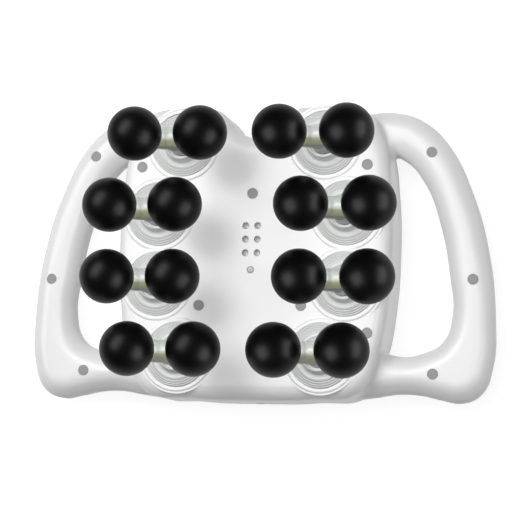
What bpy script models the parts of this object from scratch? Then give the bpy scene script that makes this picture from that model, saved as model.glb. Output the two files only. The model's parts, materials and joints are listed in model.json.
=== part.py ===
"""Percussion massager with a steering-wheel outline and eight twin-ball heads.

It lies on its back: +Z is out of the front face, +Y is the top of the body and +X the right handle.
Four double-ended motors lie in the body. Each turns a crankshaft with two opposed eccentrics, and each
eccentric strokes one head through a connecting rod, so the two heads of a drive move in antiphase.
"""

import math

import bmesh
import bpy
from mathutils import Matrix, Vector

MM = 0.001

# Overall form
WIDTH = 378.0 * MM
HEIGHT = 235.0 * MM
BODY_WIDTH = 222.0 * MM
BODY_DEPTH = 68.0 * MM
BODY_EDGE = 13.0 * MM
HANDLE_DEPTH = 34.0 * MM
PARTING_Z = 27.0 * MM
WALL = 2.5 * MM
GRIP_WALL = 3.5 * MM

# Clearances and overruns
SEAT_GAP = 0.3 * MM
RUNNING_GAP = 0.4 * MM
OVERRUN = 1.0 * MM

# Head layout: rows share one pitch, the middle rows stand wider apart
ROW_PITCH_SHARE = 56.0 / 235.0
ROWS_CENTRE_SHARE = 1.5 / 235.0
END_ROW_SHARE = 57.7 / 222.0
MIDDLE_ROW_SHARE = 76.0 / 222.0
ROW_PITCH = HEIGHT * ROW_PITCH_SHARE
ROWS_CENTRE_Y = HEIGHT * ROWS_CENTRE_SHARE
END_ROW_X = BODY_WIDTH * END_ROW_SHARE
MIDDLE_ROW_X = BODY_WIDTH * MIDDLE_ROW_SHARE

# Balls and head arms
BALL_SHARE = 21.2 / 56.0
BALL_SPACING_SHARE = 52.6 / 56.0
BALL_RADIUS = ROW_PITCH * BALL_SHARE
BALL_SPACING = ROW_PITCH * BALL_SPACING_SHARE
BALL_RISE = 50.0 * MM
BAR_RISE = 28.0 * MM
BAR_RADIUS = 9.0 * MM
SHOULDER_RADIUS = 7.0 * MM
STEM_RADIUS = 5.0 * MM
STEM_IN_BALL = 12.0 * MM
SHAFT_RADIUS = 10.0 * MM
STEM_TILT = math.radians(40.0)

# Crank drive
STROKE = 8.0 * MM
MOTOR_RADIUS_SHARE = 18.0 / 68.0
MOTOR_LENGTH_SHARE = 0.5
MOTOR_AXIS_SHARE = 24.0 / 68.0
ROD_LENGTH_SHARE = 26.0 / 68.0
MOTOR_RADIUS = BODY_DEPTH * MOTOR_RADIUS_SHARE
MOTOR_LENGTH = ROW_PITCH * MOTOR_LENGTH_SHARE
MOTOR_BOSS_RADIUS = 8.0 * MM
MOTOR_BOSS_LENGTH = 2.0 * MM
MOTOR_AXIS_Z = BODY_DEPTH * MOTOR_AXIS_SHARE
CRANK_SHAFT_RADIUS = 4.0 * MM
ECCENTRIC_RADIUS = 9.0 * MM
ECCENTRIC_WIDTH = 7.0 * MM
ROD_LENGTH = BODY_DEPTH * ROD_LENGTH_SHARE
ROD_THICKNESS = 6.0 * MM
ROD_BIG_WALL = 2.6 * MM
ROD_EYE_BORE = 4.0 * MM
ROD_EYE_WALL = 2.2 * MM
ROD_SHANK_WIDTH = 7.0 * MM
WRIST_PIN_RADIUS = 1.5 * MM
FORK_TOE = 6.0 * MM
FORK_HEADROOM = 2.0 * MM

# Boots and their seats
BOSS_SHARE = 27.8 / 56.0
BOOT_SHARE = 25.6 / 56.0
HOUSING_BORE_SHARE = 22.0 / 56.0
BOSS_RADIUS = ROW_PITCH * BOSS_SHARE
BOSS_RISE = 1.0 * MM
BOSS_FOOT = 7.0 * MM
BOOT_RADIUS = ROW_PITCH * BOOT_SHARE
BOOT_FLANGE = 1.4 * MM
BOOT_RISE = 10.0 * MM
BOOT_SKIN = 1.2 * MM
BOOT_COLLAR_WALL = 3.6 * MM
BOOT_COLLAR_HEIGHT = 3.0 * MM
HOUSING_BORE_RADIUS = ROW_PITCH * HOUSING_BORE_SHARE

# Inner frame
FRAME_SHARE = 52.0 / 68.0
FRAME_Z = BODY_DEPTH * FRAME_SHARE
FRAME_THICKNESS = 3.0 * MM
SLEEVE_WALL = 2.6 * MM
SLEEVE_TOP_GAP = 0.8 * MM
SADDLE_LENGTH = 10.0 * MM
SADDLE_WIDTH = 30.0 * MM
SADDLE_DEPTH = 6.0 * MM
STANDOFF_RADIUS = 3.0 * MM
STANDOFF_HEIGHT = 3.0 * MM
FRAME_WINDOW_SHARES = (36.0 / 222.0, 36.0 / 235.0)
FRAME_WINDOW = (BODY_WIDTH * FRAME_WINDOW_SHARES[0], HEIGHT * FRAME_WINDOW_SHARES[1])

# Screw posts
POST_RADIUS = 4.5 * MM
HANDLE_POST_RADIUS = 5.5 * MM

# Electronics
BOARD_THICKNESS = 1.6 * MM
MAIN_BOARD_SHARES = (64.0 / 222.0, 78.0 / 235.0)
BATTERY_SHARES = (62.0 / 222.0, 66.0 / 235.0, 19.0 / 68.0)
BATTERY_PLACE_SHARE = -60.0 / 235.0
MAIN_BOARD = (BODY_WIDTH * MAIN_BOARD_SHARES[0], HEIGHT * MAIN_BOARD_SHARES[1])
BATTERY = (BODY_WIDTH * BATTERY_SHARES[0], HEIGHT * BATTERY_SHARES[1], BODY_DEPTH * BATTERY_SHARES[2])
BATTERY_Y = HEIGHT * BATTERY_PLACE_SHARE
BATTERY_EDGE = 6.0 * MM
BATTERY_RIB = 2.0 * MM
BATTERY_RIB_HEIGHT = 8.0 * MM
BATTERY_RIB_SHARE = 0.6

# Control panel in the rear face
PANEL_SHARES = (76.0 / 222.0, 34.0 / 235.0)
PANEL_PLACE_SHARE = 17.0 / 235.0
PANEL = (BODY_WIDTH * PANEL_SHARES[0], HEIGHT * PANEL_SHARES[1])
PANEL_Y = HEIGHT * PANEL_PLACE_SHARE
PANEL_RECESS = 1.4 * MM
PANEL_THICKNESS = 3.6 * MM
PANEL_FLANGE = 3.0 * MM
PANEL_FLANGE_THICKNESS = 1.6 * MM
DISPLAY_SHARES = (34.0 / 76.0, 12.0 / 34.0)
DISPLAY_RISE_SHARE = 7.0 / 34.0
DISPLAY = (PANEL[0] * DISPLAY_SHARES[0], PANEL[1] * DISPLAY_SHARES[1])
DISPLAY_RISE = PANEL[1] * DISPLAY_RISE_SHARE
DISPLAY_DEPTH = 0.8 * MM
BUTTON_RADIUS = 5.0 * MM
BUTTON_PITCH_SHARE = 20.0 / 76.0
BUTTON_DROP_SHARE = 7.0 / 34.0
BUTTON_PITCH = PANEL[0] * BUTTON_PITCH_SHARE
BUTTON_DROP = PANEL[1] * BUTTON_DROP_SHARE
BUTTON_PROUD = 0.7 * MM
BUTTON_TRAVEL = 0.6 * MM
BUTTON_FLANGE = 1.2 * MM
BUTTON_FLANGE_THICKNESS = 1.2 * MM
SWITCH_HEIGHT = 2.0 * MM
SWITCH_RADIUS = 2.0 * MM
BUTTON_NAMES = ("power_button", "mode_button", "speed_button")

# Power socket
SOCKET_RADIUS = 4.4 * MM
SOCKET_FLANGE_RADIUS = 6.4 * MM
SOCKET_HEADROOM = 0.6 * MM
SOCKET_Z = BODY_EDGE + SOCKET_FLANGE_RADIUS + SOCKET_HEADROOM
SOCKET_FLANGE = 1.5 * MM
SOCKET_LENGTH = 13.0 * MM
SOCKET_BORE = 2.9 * MM
SOCKET_DEPTH = 9.5 * MM
SOCKET_PIN = 1.0 * MM

# Holes in the front face
VENT_RADIUS = 2.5 * MM
VENT_SPACING_X = 9.6 * MM
VENT_PITCH_SHARE = 10.8 / 235.0
VENT_TOP_SHARE = 20.0 / 235.0
VENT_PITCH = HEIGHT * VENT_PITCH_SHARE
VENT_TOP_Y = HEIGHT * VENT_TOP_SHARE
VENT_ROWS = 3
LENS_RADIUS = 2.8 * MM
LENS_PLACE_SHARE = -15.1 / 235.0
LENS_Y = HEIGHT * LENS_PLACE_SHARE
LENS_PROUD = 0.3 * MM
LENS_COLLAR = 1.0 * MM
LENS_COLLAR_HEIGHT = 2.0 * MM

# Cooling slots in the rear face
SLOT = (26.0 * MM, 2.4 * MM)
SLOT_PITCH_SHARE = 6.0 / 235.0
SLOT_PLACE_SHARE = 66.0 / 235.0
SLOT_PITCH = HEIGHT * SLOT_PITCH_SHARE
SLOT_COUNT = 4
SLOT_Y = HEIGHT * SLOT_PLACE_SHARE

# Facets
BALL_STEPS = 12
BALL_ARCS = 5
ROUND_STEPS = 12
SLEEVE_STEPS = 10
SMALL_STEPS = 8
POST_STEPS = 6
CURVE_STEPS = 2
BORE_STEPS = 12
MOTOR_STEPS = 10
FRONT_EDGE_STEPS = 2
REAR_EDGE_STEPS = 1
HOLLOW_EDGE_STEPS = 0
WELD = 0.01 * MM
SHARP_ANGLE = math.radians(40.0)
FLAT_ANGLE = math.radians(0.2)

# Outlines, right half from the top centre down, in shares of the half width and the half height
BODY_OUTLINE_SHARES = (
    (0.0, 0.785), (0.16, 0.835), (0.28, 0.94), (0.53, 1.0), (0.80, 0.955), (0.925, 0.76), (0.985, 0.42),
    (1.0, 0.03), (0.975, -0.38), (0.915, -0.68), (0.79, -0.935), (0.42, -0.99), (0.0, -1.0),
)
HANDLE_OUTLINE_SHARES = (
    (0.0, 0.60), (0.45, 0.94), (0.59, 0.982), (0.70, 0.915), (0.80, 0.755), (0.89, 0.47), (0.966, 0.06),
    (1.0, -0.42), (0.992, -0.74), (0.945, -0.925), (0.865, -0.985), (0.78, -0.965), (0.69, -0.935),
    (0.60, -0.93), (0.50, -0.955), (0.42, -0.965), (0.28, -0.90), (0.0, -0.80),
)
FINGER_HOLE_SHARES = (
    (0.56, 0.69), (0.61, 0.66), (0.692, 0.515), (0.772, 0.18), (0.81, -0.148),
    (0.823, -0.38), (0.785, -0.575), (0.70, -0.655), (0.60, -0.675),
)
FINGER_HOLE_INNER_SHARES = ((94.5 / 111.0, -0.60), (90.72 / 111.0, 0.0), (94.5 / 111.0, 0.64))
HANDLE_CORE_SHARES = (
    (0.46, 0.80), (0.60, 0.83), (0.71, 0.73), (0.79, 0.53), (0.878, 0.057), (0.914, -0.39),
    (0.90, -0.62), (0.85, -0.79), (0.73, -0.80), (0.60, -0.805), (0.46, -0.80),
)
FRAME_OUTLINE_SHARES = (
    (0.0, 0.70), (0.24, 0.83), (0.70, 0.85), (0.87, 0.62), (0.87, -0.62), (0.68, -0.81), (0.0, -0.84),
)
GRIP_OUTER_SHARE = 0.966
GRIP_INNER_SHARE = 0.79
GRIP_EDGE_SHARE = 0.37
BAR_SHARE = 0.255
BAR_CORE_SHARE = 0.4385
BAR_GRIP_SHARE = 1.12
FLAT_SHARE = 0.12

# Screw places, right half, in shares of the half width and the half height of what carries them
BODY_SCREW_SHARES = ((0.825, 0.578), (0.371, -0.369), (0.847, -0.549))
TOP_SCREW_SHARE = 45.8 / 235.0
TOP_SCREW_Y = HEIGHT * TOP_SCREW_SHARE
HANDLE_SCREW_SHARES = ((0.734, 0.695), (0.914, -0.166), (0.753, -0.80))

# Values worked out from those above
HALF_WIDTH = WIDTH / 2
HALF_HEIGHT = HEIGHT / 2
BODY_HALF_WIDTH = BODY_WIDTH / 2
GRIP_WIDTH = HALF_WIDTH * (GRIP_OUTER_SHARE - GRIP_INNER_SHARE)
BAR_HEIGHT = HALF_HEIGHT * BAR_SHARE
HANDLE_EDGE = min(GRIP_WIDTH, BAR_HEIGHT * BAR_GRIP_SHARE) * GRIP_EDGE_SHARE
RING_Z = BODY_DEPTH
CEILING_Z = BODY_DEPTH - WALL
FRONT_FLOOR_Z = PARTING_Z + SEAT_GAP / 2
REAR_RIM_Z = PARTING_Z - SEAT_GAP / 2
BOSS_TOP_Z = RING_Z + BOSS_RISE
CRANK_RADIUS = STROKE / 2
WRIST_Z = MOTOR_AXIS_Z + ROD_LENGTH
ROD_BORE_RADIUS = ECCENTRIC_RADIUS + RUNNING_GAP
ROD_BIG_RADIUS = ROD_BORE_RADIUS + ROD_BIG_WALL
ROD_EYE_RADIUS = ROD_EYE_BORE + ROD_EYE_WALL
SLOT_WIDTH = ROD_THICKNESS + 2 * RUNNING_GAP
FORK_TOP_Z = WRIST_Z + ROD_EYE_RADIUS + FORK_HEADROOM
SLEEVE_BORE = SHAFT_RADIUS + RUNNING_GAP
SLEEVE_RADIUS = SLEEVE_BORE + SLEEVE_WALL
MOTOR_BORE = CRANK_SHAFT_RADIUS + RUNNING_GAP
BOARD_Z = FRAME_Z + FRAME_THICKNESS + STANDOFF_HEIGHT + SEAT_GAP
PANEL_Z = PANEL_RECESS
PANEL_TOP_Z = PANEL_Z + PANEL_THICKNESS
BUTTON_TOP_Z = PANEL_TOP_Z + SEAT_GAP + BUTTON_FLANGE_THICKNESS
CONTROL_BOARD_Z = BUTTON_TOP_Z + BUTTON_TRAVEL + SEAT_GAP + SWITCH_HEIGHT
ROW_Y = tuple(ROWS_CENTRE_Y + ROW_PITCH * (1.5 - row) for row in range(4))
ROW_X = (END_ROW_X, MIDDLE_ROW_X, MIDDLE_ROW_X, END_ROW_X)

SIDES = {"l": -1, "r": 1}
DRIVES = {"upper": range(0, 2), "lower": range(2, 4)}

COLOURS = {
    "satin_white": ((0.86, 0.86, 0.86, 1.0), 0.38, 0.0),
    "black_rubber": ((0.012, 0.012, 0.012, 1.0), 0.42, 0.0),
    "clear_plastic": ((0.70, 0.73, 0.66, 1.0), 0.15, 0.0),
    "boot_rubber": ((0.80, 0.80, 0.80, 1.0), 0.45, 0.0),
    "steel": ((0.55, 0.55, 0.55, 1.0), 0.30, 1.0),
    "motor_can": ((0.45, 0.46, 0.48, 1.0), 0.35, 1.0),
    "grey_nylon": ((0.30, 0.31, 0.32, 1.0), 0.55, 0.0),
    "board_green": ((0.03, 0.16, 0.07, 1.0), 0.50, 0.0),
    "cell_wrap": ((0.05, 0.10, 0.30, 1.0), 0.45, 0.0),
    "dark_panel": ((0.03, 0.03, 0.035, 1.0), 0.25, 0.0),
    "button_grey": ((0.35, 0.35, 0.36, 1.0), 0.50, 0.0),
    "pale_lens": ((0.75, 0.75, 0.75, 1.0), 0.20, 0.0),
}


def clear_scene():
    for obj in list(bpy.data.objects):
        bpy.data.objects.remove(obj)


def make_collection(name):
    collection = bpy.data.collections.new(name)
    bpy.context.scene.collection.children.link(collection)
    return collection


def material(name):
    found = bpy.data.materials.get(name)
    if found:
        return found
    colour, roughness, metallic = COLOURS[name]
    made = bpy.data.materials.new(name)
    made.use_nodes = True
    shader = made.node_tree.nodes["Principled BSDF"]
    shader.inputs["Base Color"].default_value = colour
    shader.inputs["Roughness"].default_value = roughness
    shader.inputs["Metallic"].default_value = metallic
    return made


def add_object(name, mesh, collection):
    obj = bpy.data.objects.new(name, mesh)
    collection.objects.link(obj)
    return obj


def add_cutter(mesh, name="cutter"):
    obj = add_object(name, mesh, CUTTERS)
    obj.hide_render = True
    obj.display_type = "WIRE"
    return obj


def mesh_from_bmesh(name, shape):
    mesh = bpy.data.meshes.new(name)
    shape.to_mesh(mesh)
    shape.free()
    return mesh


def box_mesh(name, size, centre):
    shape = bmesh.new()
    bmesh.ops.create_cube(shape, size=1.0)
    bmesh.ops.scale(shape, vec=Vector(size), verts=shape.verts)
    bmesh.ops.translate(shape, vec=Vector(centre), verts=shape.verts)
    return mesh_from_bmesh(name, shape)


def cylinder_mesh(name, radius, start, end, steps=ROUND_STEPS, end_radius=None):
    """A cylinder or cone from the point start to the point end."""
    start = Vector(start)
    end = Vector(end)
    axis = end - start
    shape = bmesh.new()
    bmesh.ops.create_cone(
        shape,
        cap_ends=True,
        segments=steps,
        radius1=radius,
        radius2=radius if end_radius is None else end_radius,
        depth=axis.length,
    )
    turn = axis.to_track_quat("Z", "Y").to_matrix().to_4x4()
    bmesh.ops.transform(shape, matrix=Matrix.Translation((start + end) / 2) @ turn, verts=shape.verts)
    return mesh_from_bmesh(name, shape)


def evaluated_mesh(obj):
    bpy.context.view_layer.update()
    graph = bpy.context.evaluated_depsgraph_get()
    return bpy.data.meshes.new_from_object(obj.evaluated_get(graph))


def apply_modifiers(obj):
    mesh = evaluated_mesh(obj)
    obj.modifiers.clear()
    obj.data = mesh


def combine(obj, meshes, operation):
    """Boolean an object with several meshes, which lie in its own frame, and apply the result."""
    group = bpy.data.collections.new("operands")
    cutters = []
    for mesh in meshes:
        cutter = add_cutter(mesh)
        cutter.matrix_world = obj.matrix_world
        group.objects.link(cutter)
        cutters.append(cutter)
    modifier = obj.modifiers.new(operation.lower(), "BOOLEAN")
    modifier.operation = operation
    modifier.operand_type = "COLLECTION"
    modifier.collection = group
    modifier.solver = "EXACT"
    apply_modifiers(obj)
    for cutter in cutters:
        bpy.data.objects.remove(cutter)
    bpy.data.collections.remove(group)


def join(obj, meshes):
    combine(obj, meshes, "UNION")


def cut(obj, meshes):
    combine(obj, meshes, "DIFFERENCE")


def curve_mesh(curve, name):
    """Evaluate a curve to a closed mesh with its caps welded."""
    obj = bpy.data.objects.new(name, curve)
    bpy.context.scene.collection.objects.link(obj)
    mesh = evaluated_mesh(obj)
    bpy.data.objects.remove(obj)
    shape = bmesh.new()
    shape.from_mesh(mesh)
    bmesh.ops.remove_doubles(shape, verts=shape.verts, dist=WELD)
    bmesh.ops.recalc_face_normals(shape, faces=shape.faces)
    return mesh_from_bmesh(name, shape)


def mirrored_loop(shares, half_width, half_height):
    """A closed outline from its right half, which starts and ends on the centre line."""
    right = [(x * half_width, y * half_height) for x, y in shares]
    left = [(-x, y) for x, y in reversed(right[1:-1])]
    return right + left


def add_loop(curve, points, steps):
    """Add one closed spline to a flat curve: smooth for steps over 1, else straight."""
    kind = "BEZIER" if steps > 1 else "POLY"
    spline = curve.splines.new(kind)
    if kind == "BEZIER":
        spline.bezier_points.add(len(points) - 1)
        for knot, (x, y) in zip(spline.bezier_points, points):
            knot.co = (x, y, 0)
            knot.handle_left_type = "AUTO"
            knot.handle_right_type = "AUTO"
        spline.resolution_u = steps
    else:
        spline.points.add(len(points) - 1)
        for knot, (x, y) in zip(spline.points, points):
            knot.co = (x, y, 0, 1)
    spline.use_cyclic_u = True


def flat_curve(name, loops, steps):
    curve = bpy.data.curves.new(name, "CURVE")
    curve.dimensions = "2D"
    curve.fill_mode = "BOTH"
    for points in loops:
        add_loop(curve, points, steps)
    return curve


def plate_mesh(name, loops, bottom, top, steps=1):
    """A flat outline, with any holes, extruded between two heights."""
    curve = flat_curve(name, loops, steps)
    curve.extrude = (top - bottom) / 2
    mesh = curve_mesh(curve, name)
    mesh.transform(Matrix.Translation((0, 0, (top + bottom) / 2)))
    return mesh


def rounded_slab_mesh(name, loops, edge, depth, centre_z, inset, edge_steps):
    """A slab with rounded edges; an inset makes the hollow that leaves a wall."""
    flat = max(depth / 2 - edge, FLAT_SHARE * edge)
    curve = flat_curve(name, loops, 1 if inset else CURVE_STEPS)
    curve.offset = -edge
    curve.bevel_depth = edge - inset
    curve.bevel_resolution = edge_steps
    curve.extrude = flat
    mesh = curve_mesh(curve, name)
    drawn_half = flat + edge - inset
    wanted_half = depth / 2 - inset
    mesh.transform(Matrix.Scale(wanted_half / drawn_half, 4, Vector((0, 0, 1))))
    mesh.transform(Matrix.Translation((0, 0, centre_z)))
    return mesh


def tube_mesh(name, path, radii, resolution=2):
    """A round bar along a path, with its own radius at each point and filled ends."""
    curve = bpy.data.curves.new(name, "CURVE")
    curve.dimensions = "3D"
    curve.bevel_depth = 1.0
    curve.bevel_resolution = resolution
    curve.use_fill_caps = True
    spline = curve.splines.new("POLY")
    spline.points.add(len(path) - 1)
    for knot, place, radius in zip(spline.points, path, radii):
        knot.co = (*place, 1)
        knot.radius = radius
    return curve_mesh(curve, name)


def turned_mesh(name, profile, steps, closed=False):
    """Turn a profile of (radius, height) points about Z. It runs down the outer side, top to bottom."""
    shape = bmesh.new()
    knots = [shape.verts.new((radius, 0, height)) for radius, height in profile]
    for upper, lower in zip(knots, knots[1:]):
        shape.edges.new((upper, lower))
    if closed:
        shape.edges.new((knots[-1], knots[0]))
    obj = bpy.data.objects.new(name, mesh_from_bmesh(name, shape))
    bpy.context.scene.collection.objects.link(obj)
    screw = obj.modifiers.new("turn", "SCREW")
    screw.axis = "Z"
    screw.steps = steps
    screw.render_steps = steps
    screw.use_merge_vertices = True
    screw.merge_threshold = WELD
    mesh = evaluated_mesh(obj)
    bpy.data.objects.remove(obj)
    return mesh


def merge_flat_faces(obj):
    """Dissolve the edges that Booleans leave inside flat faces."""
    shape = bmesh.new()
    shape.from_mesh(obj.data)
    bmesh.ops.dissolve_limit(shape, angle_limit=FLAT_ANGLE, verts=shape.verts, edges=shape.edges)
    shape.to_mesh(obj.data)
    shape.free()


def finish(obj, look):
    obj.data.materials.clear()
    obj.data.materials.append(material(look))
    obj.data.shade_smooth()
    obj.data.set_sharp_from_angle(angle=SHARP_ANGLE)


def add_part(name, mesh, look, parent=None, place=None):
    obj = add_object(name, mesh, MASSAGER)
    if parent:
        obj.parent = parent
    if place is not None:
        obj.location = place
    finish(obj, look)
    return obj


def head_places():
    """Name, side and centre of each head, rows counted from the top."""
    for side, sign in SIDES.items():
        for row in range(4):
            yield f"{side}{row + 1}", sign, Vector((sign * ROW_X[row], ROW_Y[row], 0))


def drive_places():
    """Name, side, the two head centres and the heading of each crank drive."""
    for side, sign in SIDES.items():
        for level, rows in DRIVES.items():
            first, second = (Vector((sign * ROW_X[row], ROW_Y[row], 0)) for row in rows)
            along = second - first
            yield f"{side}_{level}", side, rows, first, second, math.atan2(along.y, along.x)


def body_screw_places():
    places = [(0.0, TOP_SCREW_Y)]
    for x, y in BODY_SCREW_SHARES:
        for sign in (1, -1):
            places.append((sign * x * BODY_HALF_WIDTH, y * HALF_HEIGHT))
    return places


def handle_screw_places():
    return [
        (sign * x * HALF_WIDTH, y * HALF_HEIGHT)
        for x, y in HANDLE_SCREW_SHARES
        for sign in (1, -1)
    ]


def body_loop():
    return mirrored_loop(BODY_OUTLINE_SHARES, BODY_HALF_WIDTH, HALF_HEIGHT)


def handle_loops():
    outer = mirrored_loop(HANDLE_OUTLINE_SHARES, HALF_WIDTH, HALF_HEIGHT)
    hole = [(x * HALF_WIDTH, y * HALF_HEIGHT) for x, y in FINGER_HOLE_SHARES]
    hole += [(x * BODY_HALF_WIDTH, y * HALF_HEIGHT) for x, y in FINGER_HOLE_INNER_SHARES]
    hole = hole[-1:] + hole[:-1]
    other_hole = [(-x, y) for x, y in reversed(hole)]
    return [outer, hole, other_hole]


def upright(radius, x, y, bottom, top, steps=ROUND_STEPS):
    return cylinder_mesh("upright", radius, (x, y, bottom), (x, y, top), steps)


def handle_core_mesh(sign):
    """The hollow along one handle."""
    path = [(sign * x * HALF_WIDTH, y * HALF_HEIGHT, PARTING_Z) for x, y in HANDLE_CORE_SHARES]
    radius = min(min(GRIP_WIDTH, HANDLE_DEPTH) / 2 - GRIP_WALL, BAR_HEIGHT * BAR_CORE_SHARE)
    return tube_mesh("handle_core", path, [radius] * len(path), resolution=1)


def hollow_half(name, other_half, edge_steps):
    """One half of the case with its walls: the other half's space is cut away first."""
    middle_z = BODY_DEPTH / 2
    slab = rounded_slab_mesh(name, handle_loops(), HANDLE_EDGE, HANDLE_DEPTH, PARTING_Z, 0.0, edge_steps)
    case = add_object(name, slab, MASSAGER)
    body = rounded_slab_mesh("body", [body_loop()], BODY_EDGE, BODY_DEPTH, middle_z, 0.0, edge_steps)
    bosses = [
        upright(BOSS_RADIUS, place.x, place.y, RING_Z - BOSS_FOOT, BOSS_TOP_Z, BORE_STEPS)
        for _, _, place in head_places()
    ]
    join(case, [body] + bosses)
    cut(case, [other_half])
    hollow = rounded_slab_mesh("hollow", [body_loop()], BODY_EDGE, BODY_DEPTH, middle_z, WALL, HOLLOW_EDGE_STEPS)
    cut(case, [hollow])
    cut(case, [handle_core_mesh(sign) for sign in SIDES.values()])
    return case


def half_space(bottom, top):
    size = (WIDTH + 2 * OVERRUN, HEIGHT + BODY_DEPTH, top - bottom)
    return box_mesh("half", size, (0, 0, (top + bottom) / 2))


def motor_cutters():
    """A clearance copy of each motor, in world space."""
    reach = Vector((MOTOR_LENGTH, 0, 0))
    cutters = []
    for _, _, _, first, second, heading in drive_places():
        centre = (first + second) / 2 + Vector((0, 0, MOTOR_AXIS_Z))
        half = Matrix.Rotation(heading, 3, "Z") @ reach
        radius = MOTOR_RADIUS + SEAT_GAP
        cutters.append(cylinder_mesh("motor_gap", radius, centre - half, centre + half, MOTOR_STEPS))
    return cutters


def saddle_meshes(bottom, top):
    """A block across each motor, which its clearance copy cuts to a saddle."""
    meshes = []
    for _, _, _, first, second, heading in drive_places():
        block = box_mesh("saddle", (SADDLE_LENGTH, SADDLE_WIDTH, top - bottom), (0, 0, 0))
        block.transform(Matrix.Rotation(heading, 4, "Z"))
        centre = (first + second) / 2
        block.transform(Matrix.Translation((centre.x, centre.y, (top + bottom) / 2)))
        meshes.append(block)
    return meshes


def make_front_housing():
    case = hollow_half("front_housing", half_space(-OVERRUN, FRONT_FLOOR_Z), FRONT_EDGE_STEPS)
    frame_top = FRAME_Z + FRAME_THICKNESS + SEAT_GAP
    posts = [upright(POST_RADIUS, x, y, frame_top, CEILING_Z + OVERRUN, POST_STEPS) for x, y in body_screw_places()]
    columns = [
        upright(HANDLE_POST_RADIUS, x, y, FRONT_FLOOR_Z, PARTING_Z + HANDLE_DEPTH / 2 - OVERRUN, POST_STEPS)
        for x, y in handle_screw_places()
    ]
    join(case, posts + columns)
    holes = []
    for _, _, place in head_places():
        bore_foot = RING_Z - BOSS_FOOT - OVERRUN
        holes.append(upright(HOUSING_BORE_RADIUS, place.x, place.y, bore_foot, BOSS_TOP_Z + OVERRUN, BORE_STEPS))
        seat_radius = (BOOT_RADIUS + SEAT_GAP) / math.cos(math.pi / BORE_STEPS)
        holes.append(upright(seat_radius, place.x, place.y, RING_Z, BOSS_TOP_Z + OVERRUN, BORE_STEPS))
    for row in range(VENT_ROWS):
        for sign in (1, -1):
            x = sign * VENT_SPACING_X / 2
            y = VENT_TOP_Y - row * VENT_PITCH
            holes.append(upright(VENT_RADIUS, x, y, CEILING_Z - OVERRUN, RING_Z + OVERRUN, SMALL_STEPS))
    lens_hole = LENS_RADIUS + 2 * SEAT_GAP
    holes.append(upright(lens_hole, 0.0, LENS_Y, CEILING_Z - OVERRUN, RING_Z + OVERRUN, SMALL_STEPS))
    cut(case, holes)
    merge_flat_faces(case)
    finish(case, "satin_white")


def make_rear_housing():
    case = hollow_half("rear_housing", half_space(REAR_RIM_Z, BOSS_TOP_Z + OVERRUN), REAR_EDGE_STEPS)
    posts = [
        upright(POST_RADIUS, x, y, WALL - OVERRUN, FRAME_Z - SEAT_GAP, POST_STEPS)
        for x, y in body_screw_places()
    ]
    columns = [
        upright(HANDLE_POST_RADIUS, x, y, PARTING_Z - HANDLE_DEPTH / 2 + OVERRUN, REAR_RIM_Z, POST_STEPS)
        for x, y in handle_screw_places()
    ]
    cradles = saddle_meshes(WALL - OVERRUN, MOTOR_AXIS_Z - MOTOR_RADIUS + SADDLE_DEPTH)
    join(case, posts + columns + cradles + battery_rib_meshes())
    panel_size = (PANEL[0] + 2 * SEAT_GAP, PANEL[1] + 2 * SEAT_GAP, WALL + 2 * OVERRUN)
    holes = motor_cutters() + [box_mesh("panel_hole", panel_size, (0, PANEL_Y, WALL / 2))]
    socket_hole = cylinder_mesh(
        "socket_hole", SOCKET_RADIUS + SEAT_GAP, (0, -HALF_HEIGHT - OVERRUN, SOCKET_Z),
        (0, -HALF_HEIGHT + WALL + OVERRUN, SOCKET_Z), SLEEVE_STEPS,
    )
    holes.append(socket_hole)
    for index in range(SLOT_COUNT):
        y = SLOT_Y + index * SLOT_PITCH
        holes.append(box_mesh("slot", (SLOT[0], SLOT[1], WALL + 2 * OVERRUN), (0, y, WALL / 2)))
    cut(case, holes)
    merge_flat_faces(case)
    finish(case, "satin_white")


def battery_rib_meshes():
    """Low ribs on the rear floor, one along each long side of the battery pack."""
    ribs = []
    for sign in (1, -1):
        x = sign * (BATTERY[0] / 2 + SEAT_GAP + BATTERY_RIB / 2)
        size = (BATTERY_RIB, BATTERY[1] * BATTERY_RIB_SHARE, BATTERY_RIB_HEIGHT)
        centre = (x, BATTERY_Y, WALL - OVERRUN + BATTERY_RIB_HEIGHT / 2)
        ribs.append(box_mesh("battery_rib", size, centre))
    return ribs


def rectangle(width, height, y=0.0):
    half_x = width / 2
    half_y = height / 2
    return [(half_x, y + half_y), (half_x, y - half_y), (-half_x, y - half_y), (-half_x, y + half_y)]


def make_inner_frame():
    """A plate clamped between the screw posts, with eight guide sleeves and four motor saddles."""
    outline = mirrored_loop(FRAME_OUTLINE_SHARES, BODY_HALF_WIDTH, HALF_HEIGHT)
    window = rectangle(*FRAME_WINDOW)
    plate = plate_mesh("inner_frame", [outline, window], FRAME_Z, FRAME_Z + FRAME_THICKNESS)
    frame = add_object("inner_frame", plate, MASSAGER)
    sleeve_foot = FRAME_Z + FRAME_THICKNESS / 2
    sleeve_top = CEILING_Z - SLEEVE_TOP_GAP
    added = [
        upright(SLEEVE_RADIUS, place.x, place.y, sleeve_foot, sleeve_top, SLEEVE_STEPS)
        for _, _, place in head_places()
    ]
    added += saddle_meshes(MOTOR_AXIS_Z + MOTOR_RADIUS - SADDLE_DEPTH, FRAME_Z + OVERRUN)
    added += [
        upright(STANDOFF_RADIUS, x, y, FRAME_Z + OVERRUN, BOARD_Z - SEAT_GAP, POST_STEPS)
        for x, y in standoff_places()
    ]
    join(frame, added)
    bores = [
        upright(SLEEVE_BORE, place.x, place.y, FRAME_Z - OVERRUN, sleeve_top + OVERRUN, SLEEVE_STEPS)
        for _, _, place in head_places()
    ]
    cut(frame, bores + motor_cutters())
    merge_flat_faces(frame)
    finish(frame, "grey_nylon")


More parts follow.
